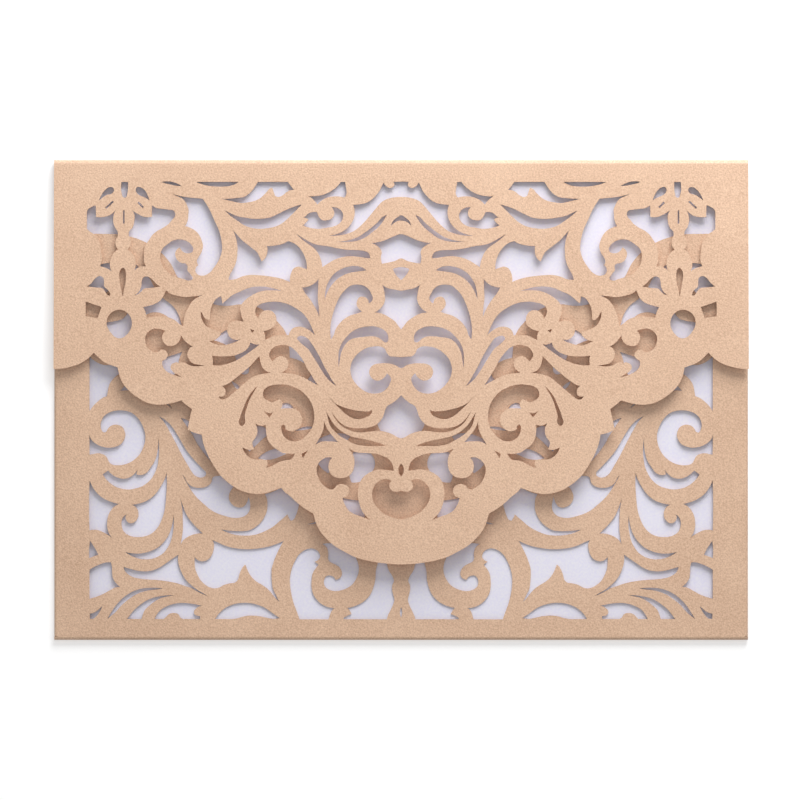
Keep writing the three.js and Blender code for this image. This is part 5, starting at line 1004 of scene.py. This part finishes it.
def paper(name, dark, light, grain_mm, bump_mm, roughness):
    material = bpy.data.materials.new(name)
    material.use_nodes = True
    nodes, links = material.node_tree.nodes, material.node_tree.links
    shader = nodes["Principled BSDF"]
    shader.inputs["Roughness"].default_value = roughness
    place = nodes.new("ShaderNodeTexCoord")
    grain = nodes.new("ShaderNodeTexNoise")
    grain.inputs["Scale"].default_value = 1 / (grain_mm * MM)
    grain.inputs["Detail"].default_value = GRAIN_DETAIL
    cloud = nodes.new("ShaderNodeTexNoise")
    cloud.inputs["Scale"].default_value = 1 / (CLOUD_SIZE * MM)
    blend = nodes.new("ShaderNodeMix")
    blend.inputs["Factor"].default_value = CLOUD_SHARE
    tone = nodes.new("ShaderNodeValToRGB")
    tone.color_ramp.elements[0].position = DARK_END
    tone.color_ramp.elements[0].color = linear(dark)
    tone.color_ramp.elements[1].position = LIGHT_END
    tone.color_ramp.elements[1].color = linear(light)
    bump = nodes.new("ShaderNodeBump")
    bump.inputs["Distance"].default_value = bump_mm * MM
    links.new(place.outputs["Object"], grain.inputs["Vector"])
    links.new(place.outputs["Object"], cloud.inputs["Vector"])
    links.new(grain.outputs["Fac"], blend.inputs["A"])
    links.new(cloud.outputs["Fac"], blend.inputs["B"])
    links.new(blend.outputs["Result"], tone.inputs["Fac"])
    links.new(tone.outputs["Color"], shader.inputs["Base Color"])
    links.new(grain.outputs["Fac"], bump.inputs["Height"])
    links.new(bump.outputs["Normal"], shader.inputs["Normal"])
    return material


print(f"each paper's grain lies on clouds of tone about {CLOUD_SIZE} mm wide")

# %% [markdown]
# The pearl card also has a thin, rather rough coat, which looks paler where it faces the open sky.
# The laser browns what it cuts. The walls of the openings are darker and duller than the face, and
# their dark brown is partly that browning and partly painted shade for the cuts' shadow.
# The card in the pocket is almost white and smoother. One helper makes all three, and only the
# colours, the sizes and the shine differ.

# %% Pearl card, its cut edge and the plain card
pearl = paper(
    "pearl card", dark="CBA283", light="F1CCAD", grain_mm=0.42, bump_mm=0.09, roughness=0.55
)
pearl_shader = pearl.node_tree.nodes["Principled BSDF"]
pearl_shader.inputs["Specular IOR Level"].default_value = 0.8
pearl_shader.inputs["Coat Weight"].default_value = 0.25
pearl_shader.inputs["Coat Roughness"].default_value = 0.5
# The walls' dark brown is partly laser browning and partly painted shade, the shade that falls
# inside the cuts.
browned_and_shaded_edge = paper(
    "cut edge", dark="8E6344", light="AC8260", grain_mm=0.2, bump_mm=0.02, roughness=0.8
)
plain = paper(
    "plain pearl card", dark="EFECFF", light="F8F6FF", grain_mm=0.6, bump_mm=0.02, roughness=0.5
)
for material in (pearl, browned_and_shaded_edge):
    cover.data.materials.append(material)
insert.data.materials.append(plain)
print("materials", [material.name for material in bpy.data.materials])

# %% [markdown]
# Each piece stands for one solid of the imported model, which is hidden. Nothing on a card like this
# turns on a hinge, so both ride on the one body, root.

# %% Put the pieces in the frame
for piece, node, finish in (
    (cover, "cover_sheet", "pearl_card"),
    (insert, "insert_card", "insert_card"),
):
    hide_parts(node)
    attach(piece, "root")
    print(piece.name, "stands for", node)

# %% [markdown]
# The invitation lies on a white table, a plane a hair below the back, so that the two never share
# a height. Only the camera sees the little glow that makes it look white. Brighter lamps would do
# that too, but they would bleach the card.

# %% Table
TABLE_SIZE = 4
TABLE_DROP = 0.00005
TABLE_COLOUR = (0.93, 0.93, 0.93, 1)
TABLE_ROUGHNESS = 0.9
TABLE_SHINE = 0.1
TABLE_LIFT = 0.4
WHITE = (1, 1, 1, 1)
bpy.ops.object.select_all(action="DESELECT")
bpy.ops.mesh.primitive_plane_add(size=TABLE_SIZE, location=(0, 0, -TABLE_DROP))
table = bpy.context.object
table.name = "table"
table_paint = bpy.data.materials.new("white table")
table_paint.use_nodes = True
table_nodes, table_links = table_paint.node_tree.nodes, table_paint.node_tree.links
table_shader = table_nodes["Principled BSDF"]
table_shader.inputs["Base Color"].default_value = TABLE_COLOUR
table_shader.inputs["Roughness"].default_value = TABLE_ROUGHNESS
table_shader.inputs["Specular IOR Level"].default_value = TABLE_SHINE
table_shader.inputs["Emission Color"].default_value = WHITE
table_rays = table_nodes.new("ShaderNodeLightPath")
lift = table_nodes.new("ShaderNodeMath")
lift.operation = "MULTIPLY"
lift.inputs[1].default_value = TABLE_LIFT
table_links.new(table_rays.outputs["Is Camera Ray"], lift.inputs[0])
table_links.new(lift.outputs[0], table_shader.inputs["Emission Strength"])
table.data.materials.append(table_paint)
print("table", TABLE_SIZE, "m wide")

# %% [markdown]
# The light of a bright room comes from all sides, so the world is a plain white sky. The camera
# and the glossy surfaces see it at full strength, and all else is lit by a weaker one, so that the
# card keeps its shadows.

# %% Sky
SKY_STRENGTH = 0.31
world = bpy.data.worlds.new("studio")
bpy.context.scene.world = world
world.use_nodes = True
sky_nodes, sky_links = world.node_tree.nodes, world.node_tree.links
sky = sky_nodes["Background"]
sky.inputs["Color"].default_value = WHITE
sky_rays = sky_nodes.new("ShaderNodeLightPath")
seen = sky_nodes.new("ShaderNodeMath")
seen.operation = "MAXIMUM"
level = sky_nodes.new("ShaderNodeMapRange")
level.inputs["To Min"].default_value = SKY_STRENGTH
sky_links.new(sky_rays.outputs["Is Camera Ray"], seen.inputs[0])
sky_links.new(sky_rays.outputs["Is Glossy Ray"], seen.inputs[1])
sky_links.new(seen.outputs[0], level.inputs["Value"])
sky_links.new(level.outputs["Result"], sky.inputs["Strength"])
print("sky lights the card at", SKY_STRENGTH)

# %% [markdown]
# The main light is wide and stands beyond the flap's fold, so each cut edge throws a soft shadow
# towards the pocket. A weak light overhead reaches down into the narrow cuts, which would be black
# without it.

# %% Lamps
def lamp(name, place, size, watts):
    bpy.ops.object.light_add(type="AREA", location=place)
    light = bpy.context.object
    light.name = name
    light.data.size = size
    light.data.energy = watts
    light.rotation_euler = (-Vector(place)).to_track_quat("-Z", "Y").to_euler()
    return light


lamps = [
    lamp("window light", place=(0.11, 0.42, 0.25), size=0.35, watts=2.8),
    lamp("ceiling light", place=(0.0, 0.0, 0.7), size=0.4, watts=0.45),
]
print("lamps", [light.name for light in lamps])

# %% [markdown]
# The photograph looks straight down, with the flap's fold at the top of the picture. A long lens
# keeps the two layers almost the same size, as there.

# %% Camera
LENS = 200
SENSOR = 36
VIEW_WIDTH = 0.2133
VIEW_CENTRE = (-0.0003, 0.0)
bpy.ops.object.camera_add(location=(*VIEW_CENTRE, VIEW_WIDTH * LENS / SENSOR + POCKET_TOP * MM))
camera = bpy.context.object
camera.data.lens = LENS
camera.data.sensor_width = SENSOR
bpy.context.scene.camera = camera
bpy.context.scene.view_settings.view_transform = "Standard"
print(f"camera {camera.location.z:.2f} m above the table")
